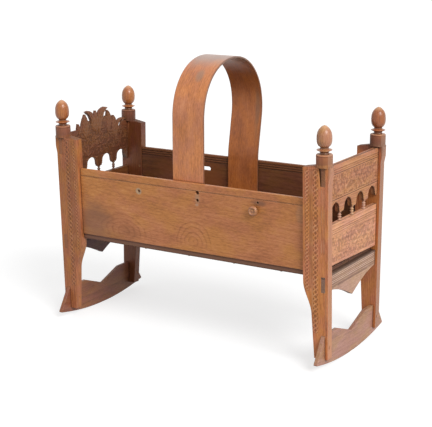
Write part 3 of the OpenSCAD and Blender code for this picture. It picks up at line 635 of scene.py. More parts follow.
def turnedShape(outline, steps):
    # an outline of (radius, height) spun about the Z axis, closed at both ends on the axis
    bm = bmesh.new()
    verts = [bm.verts.new((r, 0, z)) for r, z in outline]
    edges = [bm.edges.new(pair) for pair in zip(verts, verts[1:])]
    bmesh.ops.spin(bm, geom=verts + edges, axis=(0, 0, 1), cent=(0, 0, 0), angle=2 * math.pi,
                   steps=steps, use_merge=True)
    bmesh.ops.remove_doubles(bm, verts=bm.verts, dist=0.001)
    bmesh.ops.recalc_face_normals(bm, faces=bm.faces)
    return bm


reliefSettings = {
    "hidden": 0.28,          # how deep the relief's borders lie under the wood's face
    "sunk": 0.3,             # how deep a carving lies where it has faded out, so that it is left off
    "seat": 1.2,             # how deep its back lies
}
notCarved = -1.0


def faded(height, share):
    # a height that sinks under the wood's face as its share runs out
    return height * share - reliefSettings["sunk"] * (1 - share)


# the strength of the dirt and painted shade between the carved forms and of the worn wood and painted
# highlight on their tops, and the heights between which each comes or goes
deepTone = {"dirtAndShade": (0.62, -0.05, 0.40), "wearAndHighlight": (0.50, 0.45, 0.85)}
softTone = {"dirtAndShade": (0.36, 0.05, 0.50), "wearAndHighlight": (0.20, 0.60, 1.2)}


def carvedSkin(corner, along, up, size, step, heightAt, tone):
    # a thin closed skin of carving on a flat face; heightAt gives its height at a place on that face
    s = reliefSettings
    outwards = along.cross(up)
    bm = bmesh.new()
    bmesh.ops.create_grid(bm, x_segments=round(size[0] / step[0]), y_segments=round(size[1] / step[1]),
                          size=0.5)
    dirtAndShade, wearAndHighlight = wearAndShadeLayers(bm)
    darkShare, *darkHeights = tone["dirtAndShade"]
    lightShare, *lightHeights = tone["wearAndHighlight"]
    heights = {}
    for vert in bm.verts:
        place = corner + along * (vert.co.x + 0.5) * size[0] + up * (vert.co.y + 0.5) * size[1]
        height = max(heightAt(place), -s["hidden"])
        heights[vert] = height
        # dirt and painted shade low between the carved forms, worn wood and a painted highlight on their tops
        vert[dirtAndShade] = darkShare * (1 - ease(height, *darkHeights))
        vert[wearAndHighlight] = lightShare * ease(height, *lightHeights)
        vert.co = place + outwards * height
    low = [f for f in bm.faces if all(heights[v] <= 0.001 - s["hidden"] for v in f.verts)]
    bmesh.ops.delete(bm, geom=low, context="FACES")
    rims = [e for e in bm.edges if e.is_boundary]
    walls = bmesh.ops.extrude_edge_only(bm, edges=rims)["geom"]
    seat = corner.dot(outwards) - s["seat"]
    for vert in (g for g in walls if isinstance(g, bmesh.types.BMVert)):
        vert.co -= outwards * (vert.co.dot(outwards) - seat)
    loops = [g for g in walls if isinstance(g, bmesh.types.BMEdge) and g.is_boundary]
    bmesh.ops.triangle_fill(bm, edges=loops, normal=-outwards)
    bmesh.ops.recalc_face_normals(bm, faces=bm.faces)
    return bm


# Finials

finialSettings = {
    "height": 80.0, "acornHeight": 59.0, "acornWidth": 43.0, "ringWidth": 43.0, "neckWidth": 24.0,
    "spigotWidth": 14.0, "spigotLength": 24.0,
    "drumTop": 617.0,
    "axisX": 450.0,
    "tip": 1.6,              # the small point on the acorn
}


def acornRadius(s, t):
    r, base, widest = s["acornWidth"] / 2, s["neckWidth"] / 2, 0.34
    if t < widest:
        return base + (r - base) * math.sqrt(1 - (1 - t / widest) ** 2)
    return r * (1 - ((t - widest) / (1 - widest)) ** 2.8) ** 0.75


def finialOutline(s):
    stem = s["height"] - s["acornHeight"]
    neck, ring = s["neckWidth"] / 2, s["ringWidth"] / 2
    spigot = s["spigotWidth"] / 2
    outline = [(0, -s["spigotLength"]), (spigot, -s["spigotLength"]), (spigot, 0.05),
               (neck * 1.18, 0.05), (neck * 1.2, 0.8), (neck * 1.08, 1.5)]
    outline += [(neck * (1.0 + 0.1 * (1 - math.sin(math.pi * i / 8))), stem * (0.09 + 0.27 * i / 8))
                for i in range(9)]
    outline += [(ring * 0.80, stem * 0.44), (ring * 0.94, stem * 0.50)]
    outline += [(ring * (0.965 + 0.035 * math.sin(math.pi * i / 6)), stem * (0.52 + 0.08 * i / 6))
                for i in range(7)]
    outline += [(ring * 0.90, stem * 0.635), (ring * 0.70, stem * 0.69), (neck * 1.0, stem * 0.76),
                (neck * 0.96, stem * 0.86), (neck * 1.0, stem * 0.93)]
    last = 40
    outline += [(acornRadius(s, i / last), stem + s["acornHeight"] * i / last) for i in range(1, last - 1)]
    outline += [(acornRadius(s, 0.965), stem + s["acornHeight"] * 0.967), (1.5, s["height"] - s["tip"]),
                (0.8, s["height"] - 0.3), (0, s["height"])]
    return outline


def placeOnSide(bm, side, x, out, z, outwards=False):
    # stands a turned shape on a leaning side, its axis up the side, or out of it
    up = sideOut(side) if outwards else sideUp(side)
    turn = up.to_track_quat("Z", "X").to_matrix().to_4x4()
    bmesh.ops.transform(bm, matrix=Matrix.Translation(sidePoint(side, x, out, z)) @ turn, verts=bm.verts)


def finialWearAndShade(bm):
    # dirt and painted shade above the disc and round the foot, and a worn tip
    dirtAndShade, wearAndHighlight = wearAndShadeLayers(bm)
    for vert in bm.verts:
        z = vert.co.z
        groove = 1 - ease(abs(z - 18.2), 0.6, 3.4)
        vert[dirtAndShade] = 0.75 * groove + 0.6 * (1 - ease(z, 5.5, 10.2))
        vert[wearAndHighlight] = 0.55 * ease(z, 66, 79)


for corner, end, side in corners:
    node = f"{corner}_finial"
    bm = turnedShape(finialOutline(finialSettings), 64)
    finialWearAndShade(bm)
    grainTurn = 1.3 * end + 0.7 * side     # so that no two show the same side of the grain
    bmesh.ops.rotate(bm, matrix=Matrix.Rotation(grainTurn, 3, "Z"), verts=bm.verts)
    placeOnSide(bm, side, end * finialSettings["axisX"], cradle["postThick"] / 2, finialSettings["drumTop"])
    finishPiece(bm, f"{node}_turned", node, smoothBelow=50)
print("finials are turned")


# Posts

postSettings = {
    # a post narrows below a height, first over a curve and then straight on
    "narrowFrom": 255.0, "narrowOver": 100.0, "narrowTo": 28.0,
    "narrowShare": 0.76,     # how much of the narrowing is in the curve
    "innerBraid": {"middle": 13.5, "half": 6.4, "pitch": 11.0, "bottom": 226, "top": 572},
    "outerBraid": {"middle": 39.5, "half": 8.0, "pitch": 14.2, "bottom": 104, "top": 574},
    "reeds": [(22.6, 228, 576), (26.4, 228, 576), (30.0, 150, 576),    # distance in, bottom and top
              (58.5, 330, 524), (65.5, 330, 524), (72.5, 110, 220)],
    "carved": {"low": 100.0, "high": 580.0, "inner": 4.0, "outer": 75.0},
    "step": (0.85, 1.15),
    "edge": 0.9,
    "sharp": {"above": 562, "beyond": 424},    # the edges near the drum stay sharp
    "shoulder": 585.0, "slopeFrom": 427.0, "slope": math.radians(10), "shoulderDirt": 0.55,
    "drum": {"radius": 23.1, "low": 580.5, "high": 617.03, "bore": 7.05},
}
braidSettings = {
    "strand": 2.1,           # half a strand's width
    "height": 0.75,
    "over": 0.16,            # how much higher a strand is where it passes over the other
    "ground": 0.10,          # just proud of the plank, to hold the dirt and painted shade
}
reedSettings = {
    "half": 1.1, "height": 0.75, "ground": 0.09,
    "reach": 2.1,            # a reed and its dark lines, in units of half
}


def narrowing(s, z):
    # how far a post's inner edge has come in at a height
    t = min(max((s["narrowFrom"] - z) / s["narrowOver"], 0), 1)
    full = cradle["outerX"] - cradle["innerX"] - cradle["footWidth"]
    curveEnd = s["narrowFrom"] - s["narrowOver"]
    low = min(max((curveEnd - z) / (curveEnd - s["narrowTo"]), 0), 1)
    share = s["narrowShare"]
    return full * (share * (1 - math.cos(math.pi * t)) / 2 + (1 - share) * low)


def braidHeight(b, inwards, z):
    # two strands that cross and leave an eye between crossings
    s = braidSettings
    off = inwards - b["middle"]
    if abs(off) > b["half"] + 0.8 or not b["bottom"] - 3 < z < b["top"] + 3:
        return notCarved
    turn = math.pi * (z - b["bottom"]) / b["pitch"]
    swingWidth = b["half"] - 1.9
    slope = math.cos(math.atan(swingWidth * math.pi / b["pitch"] * math.cos(turn)))
    best = s["ground"]
    for sign in (1, -1):
        away = abs(off - sign * swingWidth * math.sin(turn)) * slope / s["strand"]
        if away < 1:
            crown = math.sqrt(1 - away * away) - 0.28 * (1 - ease(away, 0.0, 0.35))
            best = max(best, s["height"] * crown + sign * s["over"] * math.cos(turn))
    share = ease(z, b["bottom"] - 3, b["bottom"] + 2) * (1 - ease(z, b["top"] - 2, b["top"] + 3))
    return faded(best, share * (1 - ease(abs(off), b["half"] - 0.2, b["half"] + 0.6)))


def reedHeight(reed, inwards, z):
    # a thin reed between two lines of dirt and painted shade
    s = reedSettings
    middle, bottom, top = reed
    away = abs(inwards - middle) / s["half"]
    if away > s["reach"] or not bottom < z < top:
        return notCarved
    share = ease(z, bottom, bottom + 14) * (1 - ease(z, top - 6, top)) * (1 - ease(away, 1.75, s["reach"]))
    return faded(s["height"] * max(1 - away * away, 0) + s["ground"], share)


def postHeight(place):
    s = postSettings
    inwards, z = abs(place.x) - cradle["innerX"], place.z
    best = max(braidHeight(s["innerBraid"], inwards, z), braidHeight(s["outerBraid"], inwards, z))
    best = max([best] + [reedHeight(reed, inwards, z) for reed in s["reeds"]])
    if best <= -reliefSettings["sunk"]:
        return best
    wear = 0.85 + 0.35 * noise.noise(place * 0.035) + 0.15 * noise.noise(place * 0.16)
    return faded(best * wear if best > 0 else best, ease(inwards - narrowing(s, z), 1.0, 3.0))


def postCarving(end, side):
    s = postSettings["carved"]
    along = Vector((-side, 0, 0))
    startX = cradle["innerX"] + (s["inner"] if along.x * end > 0 else s["outer"])
    corner = sidePoint(side, end * startX, cradle["postThick"], s["low"])
    size = (s["outer"] - s["inner"], (s["high"] - s["low"]) / math.cos(cradle["lean"]))
    return carvedSkin(corner, along, sideUp(side), size, postSettings["step"], postHeight, deepTone)


def makeDrum(end, side):
    # the turned drum round the finial's seat; its lower edge overhangs the plank's faces
    s = postSettings["drum"]
    r, low, high, bore = s["radius"], s["low"], s["high"], s["bore"]
    outline = [(bore, low), (r - 1.0, low), (r - 0.2, low + 0.5), (r, low + 1.4),
               (r, high - 6.0), (r - 0.5, high - 5.4), (r - 0.5, high - 4.6), (r, high - 4.0),    # a groove
               (r, high - 2.2), (r - 0.6, high - 1.0), (r - 2.0, high), (bore, high), (bore, low)]
    bm = turnedShape(outline, 72)
    dirtAndShade, wearAndHighlight = wearAndShadeLayers(bm)
    # painted shade under the drum's overhanging lower edge, dirt and painted shade in its groove, and a
    # painted highlight on its top rim
    for vert in bm.verts:
        z = vert.co.z
        groove = 1 - ease(abs(z - high + 5), 0.3, 1.3)
        vert[dirtAndShade] = 0.8 * (1 - ease(z, low, low + 3.5)) + 0.55 * groove
        vert[wearAndHighlight] = 0.35 * ease(z, high - 2.4, high - 0.8)
    top = finialSettings["drumTop"]
    bmesh.ops.translate(bm, vec=(0, 0, -top), verts=bm.verts)
    placeOnSide(bm, side, end * finialSettings["axisX"], cradle["postThick"] / 2, top)
    return bm


def shoulderDirt(place):
    # the sloping tops of the planks have gone grey
    s = postSettings
    out = abs(place.y) - innerY(place.z)
    top = s["shoulder"] - out * math.tan(cradle["lean"])
    top -= max(0, s["slopeFrom"] - abs(place.x)) * math.tan(s["slope"])
    return s["shoulderDirt"] if place.z > top - 0.3 else 0.0


def nearDrum(place):
    s = postSettings["sharp"]
    return place.z > s["above"] and abs(place.x) > s["beyond"]


for corner, end, side in corners:
    node = f"{corner}_post"
    bm = takeNode(node)
    softenEdges(bm, postSettings["edge"], leave=nearDrum)
    darken(bm, shoulderDirt)
    joinInto(bm, postCarving(end, side), makeDrum(end, side))
    finishPiece(bm, f"{node}_carved", node)
print("posts are carved")


# Hoop: one strap bent over from side board to side board

hoopSettings = {
    "width": 108.0, "thick": 6.0, "top": 837.0, "radius": 170.0, "lean": 14.0,
    "square": 2.1,           # 2 is a circle, more has fuller shoulders
    "ease": 20.0,            # height above a board at which the strap starts to bend away
    "gap": 0.2, "foot": 282.0,
    "steps": 190, "across": 26,
    "uneven": 0.45,          # waviness of a strap worked by hand
    "edge": 1.6,
}


def legY(s, z):
    return innerY(z) + cradle["sideInset"] / math.cos(cradle["lean"]) - s["gap"] - s["thick"] / 2


def hoopLine(s):
    # points of the strap's middle line in the Y-Z plane, from its front foot to its rear foot
    centre = Vector((s["lean"], s["top"] - s["radius"]))
    middle = s["radius"] - s["thick"] / 2

    def roundTop(angle):
        power = 2 / (s["square"] if 0 < angle < 180 else 2)
        across, upwards = math.cos(math.radians(angle)), math.sin(math.radians(angle))
        return centre + middle * Vector((math.copysign(abs(across) ** power, across),
                                         math.copysign(abs(upwards) ** power, upwards)))

    def leg(side, top):
        # along the board, then bending away to run straight to the round top
        heights = [s["foot"] + (top - s["foot"]) * i / 13 for i in range(13)]
        straight = [Vector((side * legY(s, z), z)) for z in heights]
        start = Vector((side * legY(s, top), top))
        bend = Vector((side * legY(s, top + s["ease"]), top + s["ease"]))
        away = bend - centre
        angle = math.degrees(math.atan2(away.y, away.x))
        reach = math.degrees(math.acos(middle / away.length))
        touch = 360 + angle - reach if side < 0 else angle + reach
        onward = bend + (roundTop(touch) - bend).normalized() * s["ease"]
        curve = [start * (1 - t) ** 2 + bend * 2 * t * (1 - t) + onward * t * t
                 for t in (i / 8 for i in range(9))]
        return straight + curve, touch

    frontLeg, first = leg(front, cradle["frontTop"])
    rearLeg, last = leg(rear, cradle["rearTop"])
    arc = [roundTop(first + (last - first) * i / 96) for i in range(97)]
    return frontLeg + arc + rearLeg[::-1]


def alongLine(line, share):
    # the point and direction at a share of a line's length
    lengths = [(b - a).length for a, b in zip(line, line[1:])]
    left = share * sum(lengths)
    for a, b, run in zip(line, line[1:], lengths):
        if left <= run:
            return a + (b - a) * (left / run), (b - a).normalized(), share * sum(lengths)
        left -= run
    return line[-1], (line[-1] - line[-2]).normalized(), sum(lengths)


def makeHoop(s):
    line = hoopLine(s)
    bm = bmesh.new()
    bmesh.ops.create_grid(bm, x_segments=s["steps"], y_segments=s["across"], size=0.5)
    strapAlong, strapAcross, strapDeep = (bm.verts.layers.float.new(n)
                                          for n in ("strapAlong", "strapAcross", "strapDeep"))
    station = bm.verts.layers.int.new("station")
    last = 0.99999           # just short of the line's end
    places = [alongLine(line, last * i / s["steps"]) for i in range(s["steps"] + 1)]
    for vert in bm.verts:
        vert[station] = round((vert.co.x + 0.5) * s["steps"])
        wide = vert.co.y
        point, ahead, run = places[vert[station]]
        outward = Vector((-ahead.y, ahead.x))
        wave = noise.noise(Vector((run * 0.012, 3.1, wide * 1.7)))
        fringe = noise.noise(Vector((run * 0.02, 7.7 * (1 if wide > 0 else -1), 0)))
        rise = s["uneven"] * 0.5 * wave * ease(run, 200, 330) * (1 - ease(run, 880, 1010))
        x = wide * (s["width"] + s["uneven"] * fringe)
        vert[strapAlong], vert[strapAcross] = run * 0.001, x * 0.001
        vert.co = Vector((x, point.x + outward.x * rise, point.y + outward.y * rise))
    new = bmesh.ops.extrude_face_region(bm, geom=bm.faces[:], use_keep_orig=True)["geom"]
    inner = {g for g in new if isinstance(g, bmesh.types.BMVert)}
    for vert in bm.verts:
        deep = s["thick"] / 2 * (-1 if vert in inner else 1)
        ahead = places[vert[station]][1]
        vert.co += Vector((0, -ahead.y, ahead.x)) * deep
        vert[strapDeep] = deep * 0.001
    bmesh.ops.recalc_face_normals(bm, faces=bm.faces)
    return bm


bm = makeHoop(hoopSettings)
softenEdges(bm, hoopSettings["edge"], segments=3, sharpest=50)
finishPiece(bm, "hoop_bent", "hoop")
print("hoop is bent")


# Side boards, floor, rockers and wedges, with eased edges

# the worked grooves along the side boards: how far below a board's top they lie, how deep their bottoms are,
# and how dark their bottoms are painted, for dirt and painted shade
grooveSettings = {
    "front": {"below": (18, 28), "deep": (0.3, 0.8), "dirtAndShade": 0.35},
    "rear": {"below": (6, 30), "deep": (0.6, 1.6), "dirtAndShade": 0.6},      # on both faces
    "pastPost": 2.0,
}


def grooveDirtAndShade(place):
    out = (abs(place.y) - innerY(place.z)) * math.cos(cradle["lean"]) - cradle["sideInset"]
    depths, s, top = [cradle["sideThick"] - out], grooveSettings["front"], cradle["frontTop"]
    if place.y > 0:
        depths, s, top = [cradle["sideThick"] - out, out], grooveSettings["rear"], cradle["rearTop"]
    sunk = any(s["deep"][0] < depth < s["deep"][1] for depth in depths)
    within = s["below"][0] < top - place.z < s["below"][1]
    clear = abs(place.x) < cradle["innerX"] + grooveSettings["pastPost"]
    return s["dirtAndShade"] if sunk and within and clear else 0.0


easedEdges = {
    "front_side_board": 1.3, "rear_side_board": 1.3, "front_floor_board": 1.0, "rear_floor_board": 1.0,
    "head_rocker": 1.4, "foot_rocker": 1.4, "head_tenon_wedges": 0.5, "foot_tenon_wedges": 0.5,
}
for node, width in easedEdges.items():
    bm = takeNode(node)
    softenEdges(bm, width)
    darken(bm, grooveDirtAndShade)
    finishPiece(bm, f"{node}_eased", node)
print("boards are eased")


# End boards: a frieze, panels, aprons and a crest, carved in low relief

endSettings = {
    "edge": 0.8,
    "step": (1.0, 1.0),
    "arches": {"width": 47.0, "height": 34.0},
    "frieze": {"low": 482.5, "high": 550.0, "height": 1.5, "archFoot": 439.0, "top": 579.0,
               "beads": (12.2, 18.1, 24.1), "ledge": 476.2, "margin": 4.0,
               "ribsFrom": 444, "ribPitch": 6.4, "seed": 5},
    "panel": {"low": 296.0, "slope": 10.0, "margin": 9.0, "height": 1.1, "beads": (14.2, 20.1, 26.1, 32.0),
              "border": 35},
    "apron": {"top": 270.0, "beadPitch": 6.2, "beadRadius": 2.1, "beads": (6.4, 11.6, 22.4, 27.6),
              "ground": {"height": 0.08, "from": 4, "to": 44},
              "beadRows": ((17.4, 0, 0), (34.5, 0, 0), (41.0, 95, 0.5)),    # drop, start and shift
              "beadsEnd": 148},
    "crest": {"archFoot": 459.0, "top": 586.0, "height": 2.1, "groundHeight": 1.7, "slitRim": 0.8,
              "peak": {"y": -8, "rise": 24, "slope": 0.30},
              "steps": ((-84, 3), (84, 40), (math.inf, -3)),    # the body's greatest rise, up to each y
              "fan": {"reach": 24, "below": 500, "beyond": 128, "centre": 478, "ribs": 14},
              "seed": 9},
    "margin": 3.0,           # bare wood beside the posts
    # dirt and painted shade in the grooves, the tenons' own tone, and painted shade along the aprons' tops
    "dirtAndShade": {"grooves": 0.9, "grooveDepth": (0.6, 1.6), "footTenons": 0.5, "headTenons": 0.08,
             "apronTopShade": 0.85},
}
foliageSettings = {
    "sizes": [11.0] * 50 + [8.5] * 160 + [6.0] * 500,    # tried in turn, and left out where they don't fit
    "spacing": 0.62,         # the least distance of two forms, as a share of both sizes
    "scrolls": 0.40,         # the share of scrolls, the rest are leaves
    "column": 12,            # width of the columns that the forms are listed by
    "ground": 0.07,
}
leafSteps = 16

# half an arch from its foot to its crown, as shares of half its width and of its height
pointedEdge = ((1.28, -0.03), (1.15, 0.06), (1.05, 0.2), (0.97, 0.5), (0.82, 0.7), (0.52, 0.87), (0.02, 1))
roundEdge = ((1.24, -0.03), (1.15, 0.09), (1.03, 0.23), (0.96, 0.58), (0.87, 0.75), (0.62, 0.9), (0.25, 0.99),
             (0.02, 1))


def makeLeaf(base, bend, tip, width, lift=0.0):
    # a leaf along a bent rib
    base, bend, tip = (Vector(p) + Vector((0, lift)) for p in (base, bend, tip))
    shares = [i / leafSteps for i in range(leafSteps + 1)]
    rib = [base * (1 - t) ** 2 + bend * 2 * t * (1 - t) + tip * t * t for t in shares]
    reach = width / 2
    box = [f(p[i] for p in rib) + sign * reach for i in range(2) for f, sign in ((min, -1), (max, 1))]
    return {"rib": rib, "width": width, "box": box}


crestLift = endSettings["crest"]["top"]
crestLeaves = [makeLeaf(*row, crestLift) for row in (
    ((-97, -14), (-98, 8), (-101, 24), 16), ((-66, -30), (-66, 16), (-66, 49), 38),
    ((-22, -12), (-28, 50), (-64, 56), 28), ((-12, -16), (-13, 24), (-11, 54), 30),
    ((4, -24), (4, 54), (51, 55), 34), ((50, -30), (64, 20), (50, 47), 30),
    ((76, -40), (90, 0), (82, 26), 30), ((88, -60), (98, 14), (150, 5), 24))]
crestSlits = [makeLeaf(*row, crestLift) for row in (
    ((-37, 13), (-43, 32), (-57, 51), 10), ((31, 18), (33, 38), (47, 50), 12),
    ((112, -24), (111, -4), (129, 6), 13))]


def leafPlace(y, z, leaf, wider=0.0):
    # how far along a leaf a place lies, and how far off its rib in shares of its half width there
    box = leaf["box"]
    if not (box[0] - wider < y < box[1] + wider and box[2] - wider < z < box[3] + wider):
        return None
    rib = leaf["rib"]
    best = None
    for i in range(leafSteps):
        a, b = rib[i], rib[i + 1]
        dy, dz = b.x - a.x, b.y - a.y
        square = dy * dy + dz * dz
        t = min(max(((y - a.x) * dy + (z - a.y) * dz) / square, 0), 1)
        away = math.hypot(y - a.x - t * dy, z - a.y - t * dz)
        if best is None or away < best[0]:
            best = (away, (i + t) / leafSteps)
    away, p = best
    half = leaf["width"] / 2 * math.sin(math.pi * p ** 0.8) if 0 < p < 1 else 0.0
    return p, away, half


def leafHeight(y, z, leaf, veins, lobed=0.1):
    # a leaf with a midrib, sunk between its veins
    place = leafPlace(y, z, leaf)
    if not place:
        return notCarved
    p, away, half = place
    lobes = half * (1 - lobed + lobed * math.cos(2 * math.pi * veins * p)) - 0.3
    if away >= lobes:
        return notCarved
    away /= lobes
    rib = 0.42 * (1 - ease(away, 0.0, 0.22))
    vein = 0.16 * math.cos(2 * math.pi * (veins * p - 1.4 * away))
    return (1 - away ** 3) * (0.85 - rib + vein)


def scrollHeight(y, z, centre, radius, turn):
    # a curled scroll with lobes round it
    dy, dz = (y - centre[0]) * turn, z - centre[1]
    away = math.hypot(dy, dz)
    if away >= radius:
        return notCarved
    angle = math.atan2(dz, dy)
    inner = radius * 0.56
    if away < inner:
        curl = 0.5 + 0.5 * math.cos(2 * math.pi * (away / (inner * 0.5)) - angle)
        return 0.25 + 0.75 * curl
    lobed = radius * (0.86 + 0.14 * math.cos(5 * angle + 1))
    if away >= lobed:
        return notCarved
    t = (away - inner) / (lobed - inner)
    return (1 - t ** 3) * (0.6 + 0.35 * math.cos(5 * angle + 1 - 1.5 * t))


def foliage(y, z, height, forms):
    best = foliageSettings["ground"]
    for kind, form in forms.get(round(y / foliageSettings["column"]), ()):
        best = max(best, scrollHeight(y, z, *form) if kind == "scroll" else leafHeight(y, z, form, 4))
    place = Vector((y, z, 0))
    wear = 0.75 + 0.5 * noise.noise(place * 0.05) + 0.35 * noise.noise(place * 0.17)
    return best * height * max(wear, 0.2)


def scatterForms(low, high, half, seed):
    # curled scrolls and bent leaves that fill a panel, listed by where they lie along it
    s = foliageSettings
    rng = random.Random(seed)
    forms, taken = {}, []
    for size in s["sizes"]:
        y, z = rng.uniform(-half, half), rng.uniform(low + size * 0.6, high - size * 0.6)
        if any(math.hypot(y - a, z - b) < s["spacing"] * (size + c) for a, b, c in taken):
            continue
        taken.append((y, z, size))
        turn = rng.choice((-1, 1))
        if rng.random() < s["scrolls"]:
            kind, form = "scroll", ((y, z), size, turn)
        else:
            angle = rng.uniform(0, 2 * math.pi)
            run = Vector((math.cos(angle), math.sin(angle))) * size * 1.15
            across = Vector((-run.y, run.x)) * 0.45 * turn
            middle = Vector((y, z))
            kind, form = "leaf", makeLeaf(middle - run, middle + across, middle + run, size * 1.05)
        first, last = (round((y + size * reach) / s["column"]) for reach in (-1.6, 1.6))
        for column in range(first, last + 1):
            forms.setdefault(column, []).append((kind, form))
    return forms


def archGap(y, z, s, edge):
    # how far a place lies outside the nearest arch
    pitch = cradle["archPitch"]
    middle = min(((i - 1.5) * pitch for i in range(4)), key=lambda c: abs(y - c))
    half, rise = endSettings["arches"]["width"] / 2, endSettings["arches"]["height"]
    off, up = abs(y - middle), z - s["archFoot"]
    for (w0, z0), (w1, z1) in zip(edge, edge[1:]):
        if up <= z1 * rise:
            width = half * (w0 + (w1 - w0) * (up / rise - z0) / (z1 - z0))
            lean = math.cos(math.atan2(half * (w0 - w1), rise * (z1 - z0)))
            return min((off - width) * lean, math.hypot(off, up - rise)) if off > width else -1.0, middle
    return math.hypot(off, up - rise), middle


friezeForms = scatterForms(endSettings["frieze"]["low"], endSettings["frieze"]["high"], 152,
                           endSettings["frieze"]["seed"])


def beadLine(drop, rows, half=1.9):
    # worn beads that run across a board between its worked grooves
    away = min(abs(drop - row) for row in rows) / half
    return 0.9 * (1 - away * away) if away < 1.15 else notCarved


def bordered(value, room, over=2.5):
    return faded(value, ease(room, 0, over))


def sideRoom(y, z, margin=endSettings["margin"]):
    # how far a place lies inside the posts, less a margin
    return innerY(z) - margin - abs(y)


def friezeHeight(place):
    s = endSettings["frieze"]
    y, z = place.y, place.z
    side = sideRoom(y, z, s["margin"])
    gap, middle = archGap(y, z, s, pointedEdge)
    if side <= 0 or z <= s["low"] - 1 and gap < 0.4:
        return notCarved
    if z > s["high"]:
        return bordered(beadLine(s["top"] - z, s["beads"]), side, 1.0)
    if z > s["low"] - 1:
        room = min(z - s["low"], s["high"] - z, side)
        return bordered(foliage(y, z, s["height"], friezeForms), room) if room > 0 else notCarved
    if z > s["ledge"] - 2:
        return bordered(beadLine(z, (s["ledge"],), 1.7), min(side, gap - 0.4), 1.0)
    rim = (1 - ease(abs(gap - 2.3), 0.8, 1.9)) * 0.8
    if gap > 3.4:            # ribs beyond the arch's rim
        rib = 0.5 + 0.5 * math.cos(2 * math.pi * (z - s["ribsFrom"]) / s["ribPitch"])
        rim = max(rim, 0.8 * rib * ease(gap, 3.4, 5.0))
    rim -= reliefSettings["sunk"] * (1 - ease(rim, 0.0, 0.15))
    return bordered(rim, min(side, s["ledge"] - 2 - z, gap - 0.4, z - s["archFoot"] - 1.5), 1.0)


def panelHeight(sill):
    s = endSettings["panel"]
    high = sill - s["border"]
    forms = scatterForms(s["low"], high, 148, seed=sill)

    def heightAt(place):
        y, z = place.y, place.z
        if z > high:
            side = sideRoom(y, z)
            return bordered(beadLine(sill - z, s["beads"]), side, 1.0) if side > 0 else notCarved
        low = s["low"] - s["slope"] / 2 * y / cradle["innerHalf"]
        room = min(z - low, high - z, sideRoom(y, z, s["margin"]))
        return bordered(foliage(y, z, s["height"], forms), room) if room > 0 else notCarved
    return heightAt


def apronHeight(place):
    s = endSettings["apron"]
    y, drop = place.y, s["top"] - place.z
    side = sideRoom(y, place.z)
    if side <= 0:
        return notCarved
    ground = s["ground"]["height"] if s["ground"]["from"] < drop < s["ground"]["to"] else notCarved
    best = bordered(max(beadLine(drop, s["beads"], 1.5), ground), side, 1.0)
    for row, start, shift in s["beadRows"]:
        if abs(drop - row) < s["beadRadius"] and start < abs(y) < s["beadsEnd"]:
            offset = (y / s["beadPitch"] + shift) % 1 - 0.5
            away = math.hypot(offset * s["beadPitch"], drop - row) / s["beadRadius"]
            if away < 1:
                best = max(best, 0.8 * math.sqrt(1 - away * away) - 0.1)
    return best


def crestBodyHeight(y, z):
    # the crest's body between its arches and its leaves, with a fan in each outer corner
    s = endSettings["crest"]
    gap, middle = archGap(y, z, s, roundEdge)
    side = sideRoom(y, z)
    if gap < 0.5 or side < 0 or z < s["archFoot"] + 1:
        return notCarved
    body = foliage(y, z, s["groundHeight"], crestForms)
    rim = 1.1 * (1 - ease(abs(gap - 4.2), 1.2, 2.4))
    fan = s["fan"]
    if gap < fan["reach"] and z < fan["below"] and abs(y) > fan["beyond"]:
        angle = math.atan2(z - fan["centre"], abs(y - middle))
        body = 0.9 * (0.5 + 0.5 * math.cos(angle * fan["ribs"])) * ease(gap, 5.5, 8)
    return bordered(max(body * ease(gap, 4, 7), rim), min(gap - 0.5, side, z - s["archFoot"]), 1.6)


def crestHeight(place):
    s = endSettings["crest"]
    y, z = place.y, place.z
    for slit in crestSlits:
        spotted = leafPlace(y, z, slit, 1.0)
        if spotted and spotted[1] < spotted[2] + s["slitRim"]:
            return notCarved
    best = max([notCarved] + [s["height"] * leafHeight(y, z, leaf, 5, 0.04) for leaf in crestLeaves])
    peak = s["top"] + s["peak"]["rise"] - abs(y - s["peak"]["y"]) * s["peak"]["slope"]
    if z < min(peak, s["top"] + next(rise for edge, rise in s["steps"] if y < edge)):
        low = crestBodyHeight(y, z)
        best = low if low == notCarved else max(best, low)
    return best


crestForms = scatterForms(500, 590, 146, endSettings["crest"]["seed"])


def endDirtAndShade(place):
    # dirt and painted shade in the grooves across the end boards, the tenons' ends in the posts, and painted
    # shade along the aprons' upper edges
    s = endSettings["dirtAndShade"]
    shallow, deepest = s["grooveDepth"]
    deep = cradle["endX"] + cradle["endThick"] - abs(place.x)
    if abs(place.y) > innerY(place.z) + cradle["postThick"] * 0.6:
        return s["footTenons"] if place.x > 0 else s["headTenons"]
    if abs(place.z - endSettings["apron"]["top"]) < 0.2:
        return s["apronTopShade"]
    return s["grooves"] if shallow < deep < deepest and abs(place.y) < innerY(place.z) + 1 else 0.0


def endSkin(end, facing, low, high, half, heightAt):
    # a carved skin on an end board; facing 1 is its outer face and -1 the one towards the cradle's inside
    outside = cradle["crestThick"] if heightAt is crestHeight else cradle["endThick"]
    x = end * (cradle["endX"] + (outside if facing > 0 else 0))
    toY = end * facing
    tone = deepTone if heightAt is apronHeight else softTone
    return carvedSkin(Vector((x, -toY * half, low)), Vector((0, toY, 0)), Vector((0, 0, 1)),
                      (2 * half, high - low), endSettings["step"], heightAt, tone)


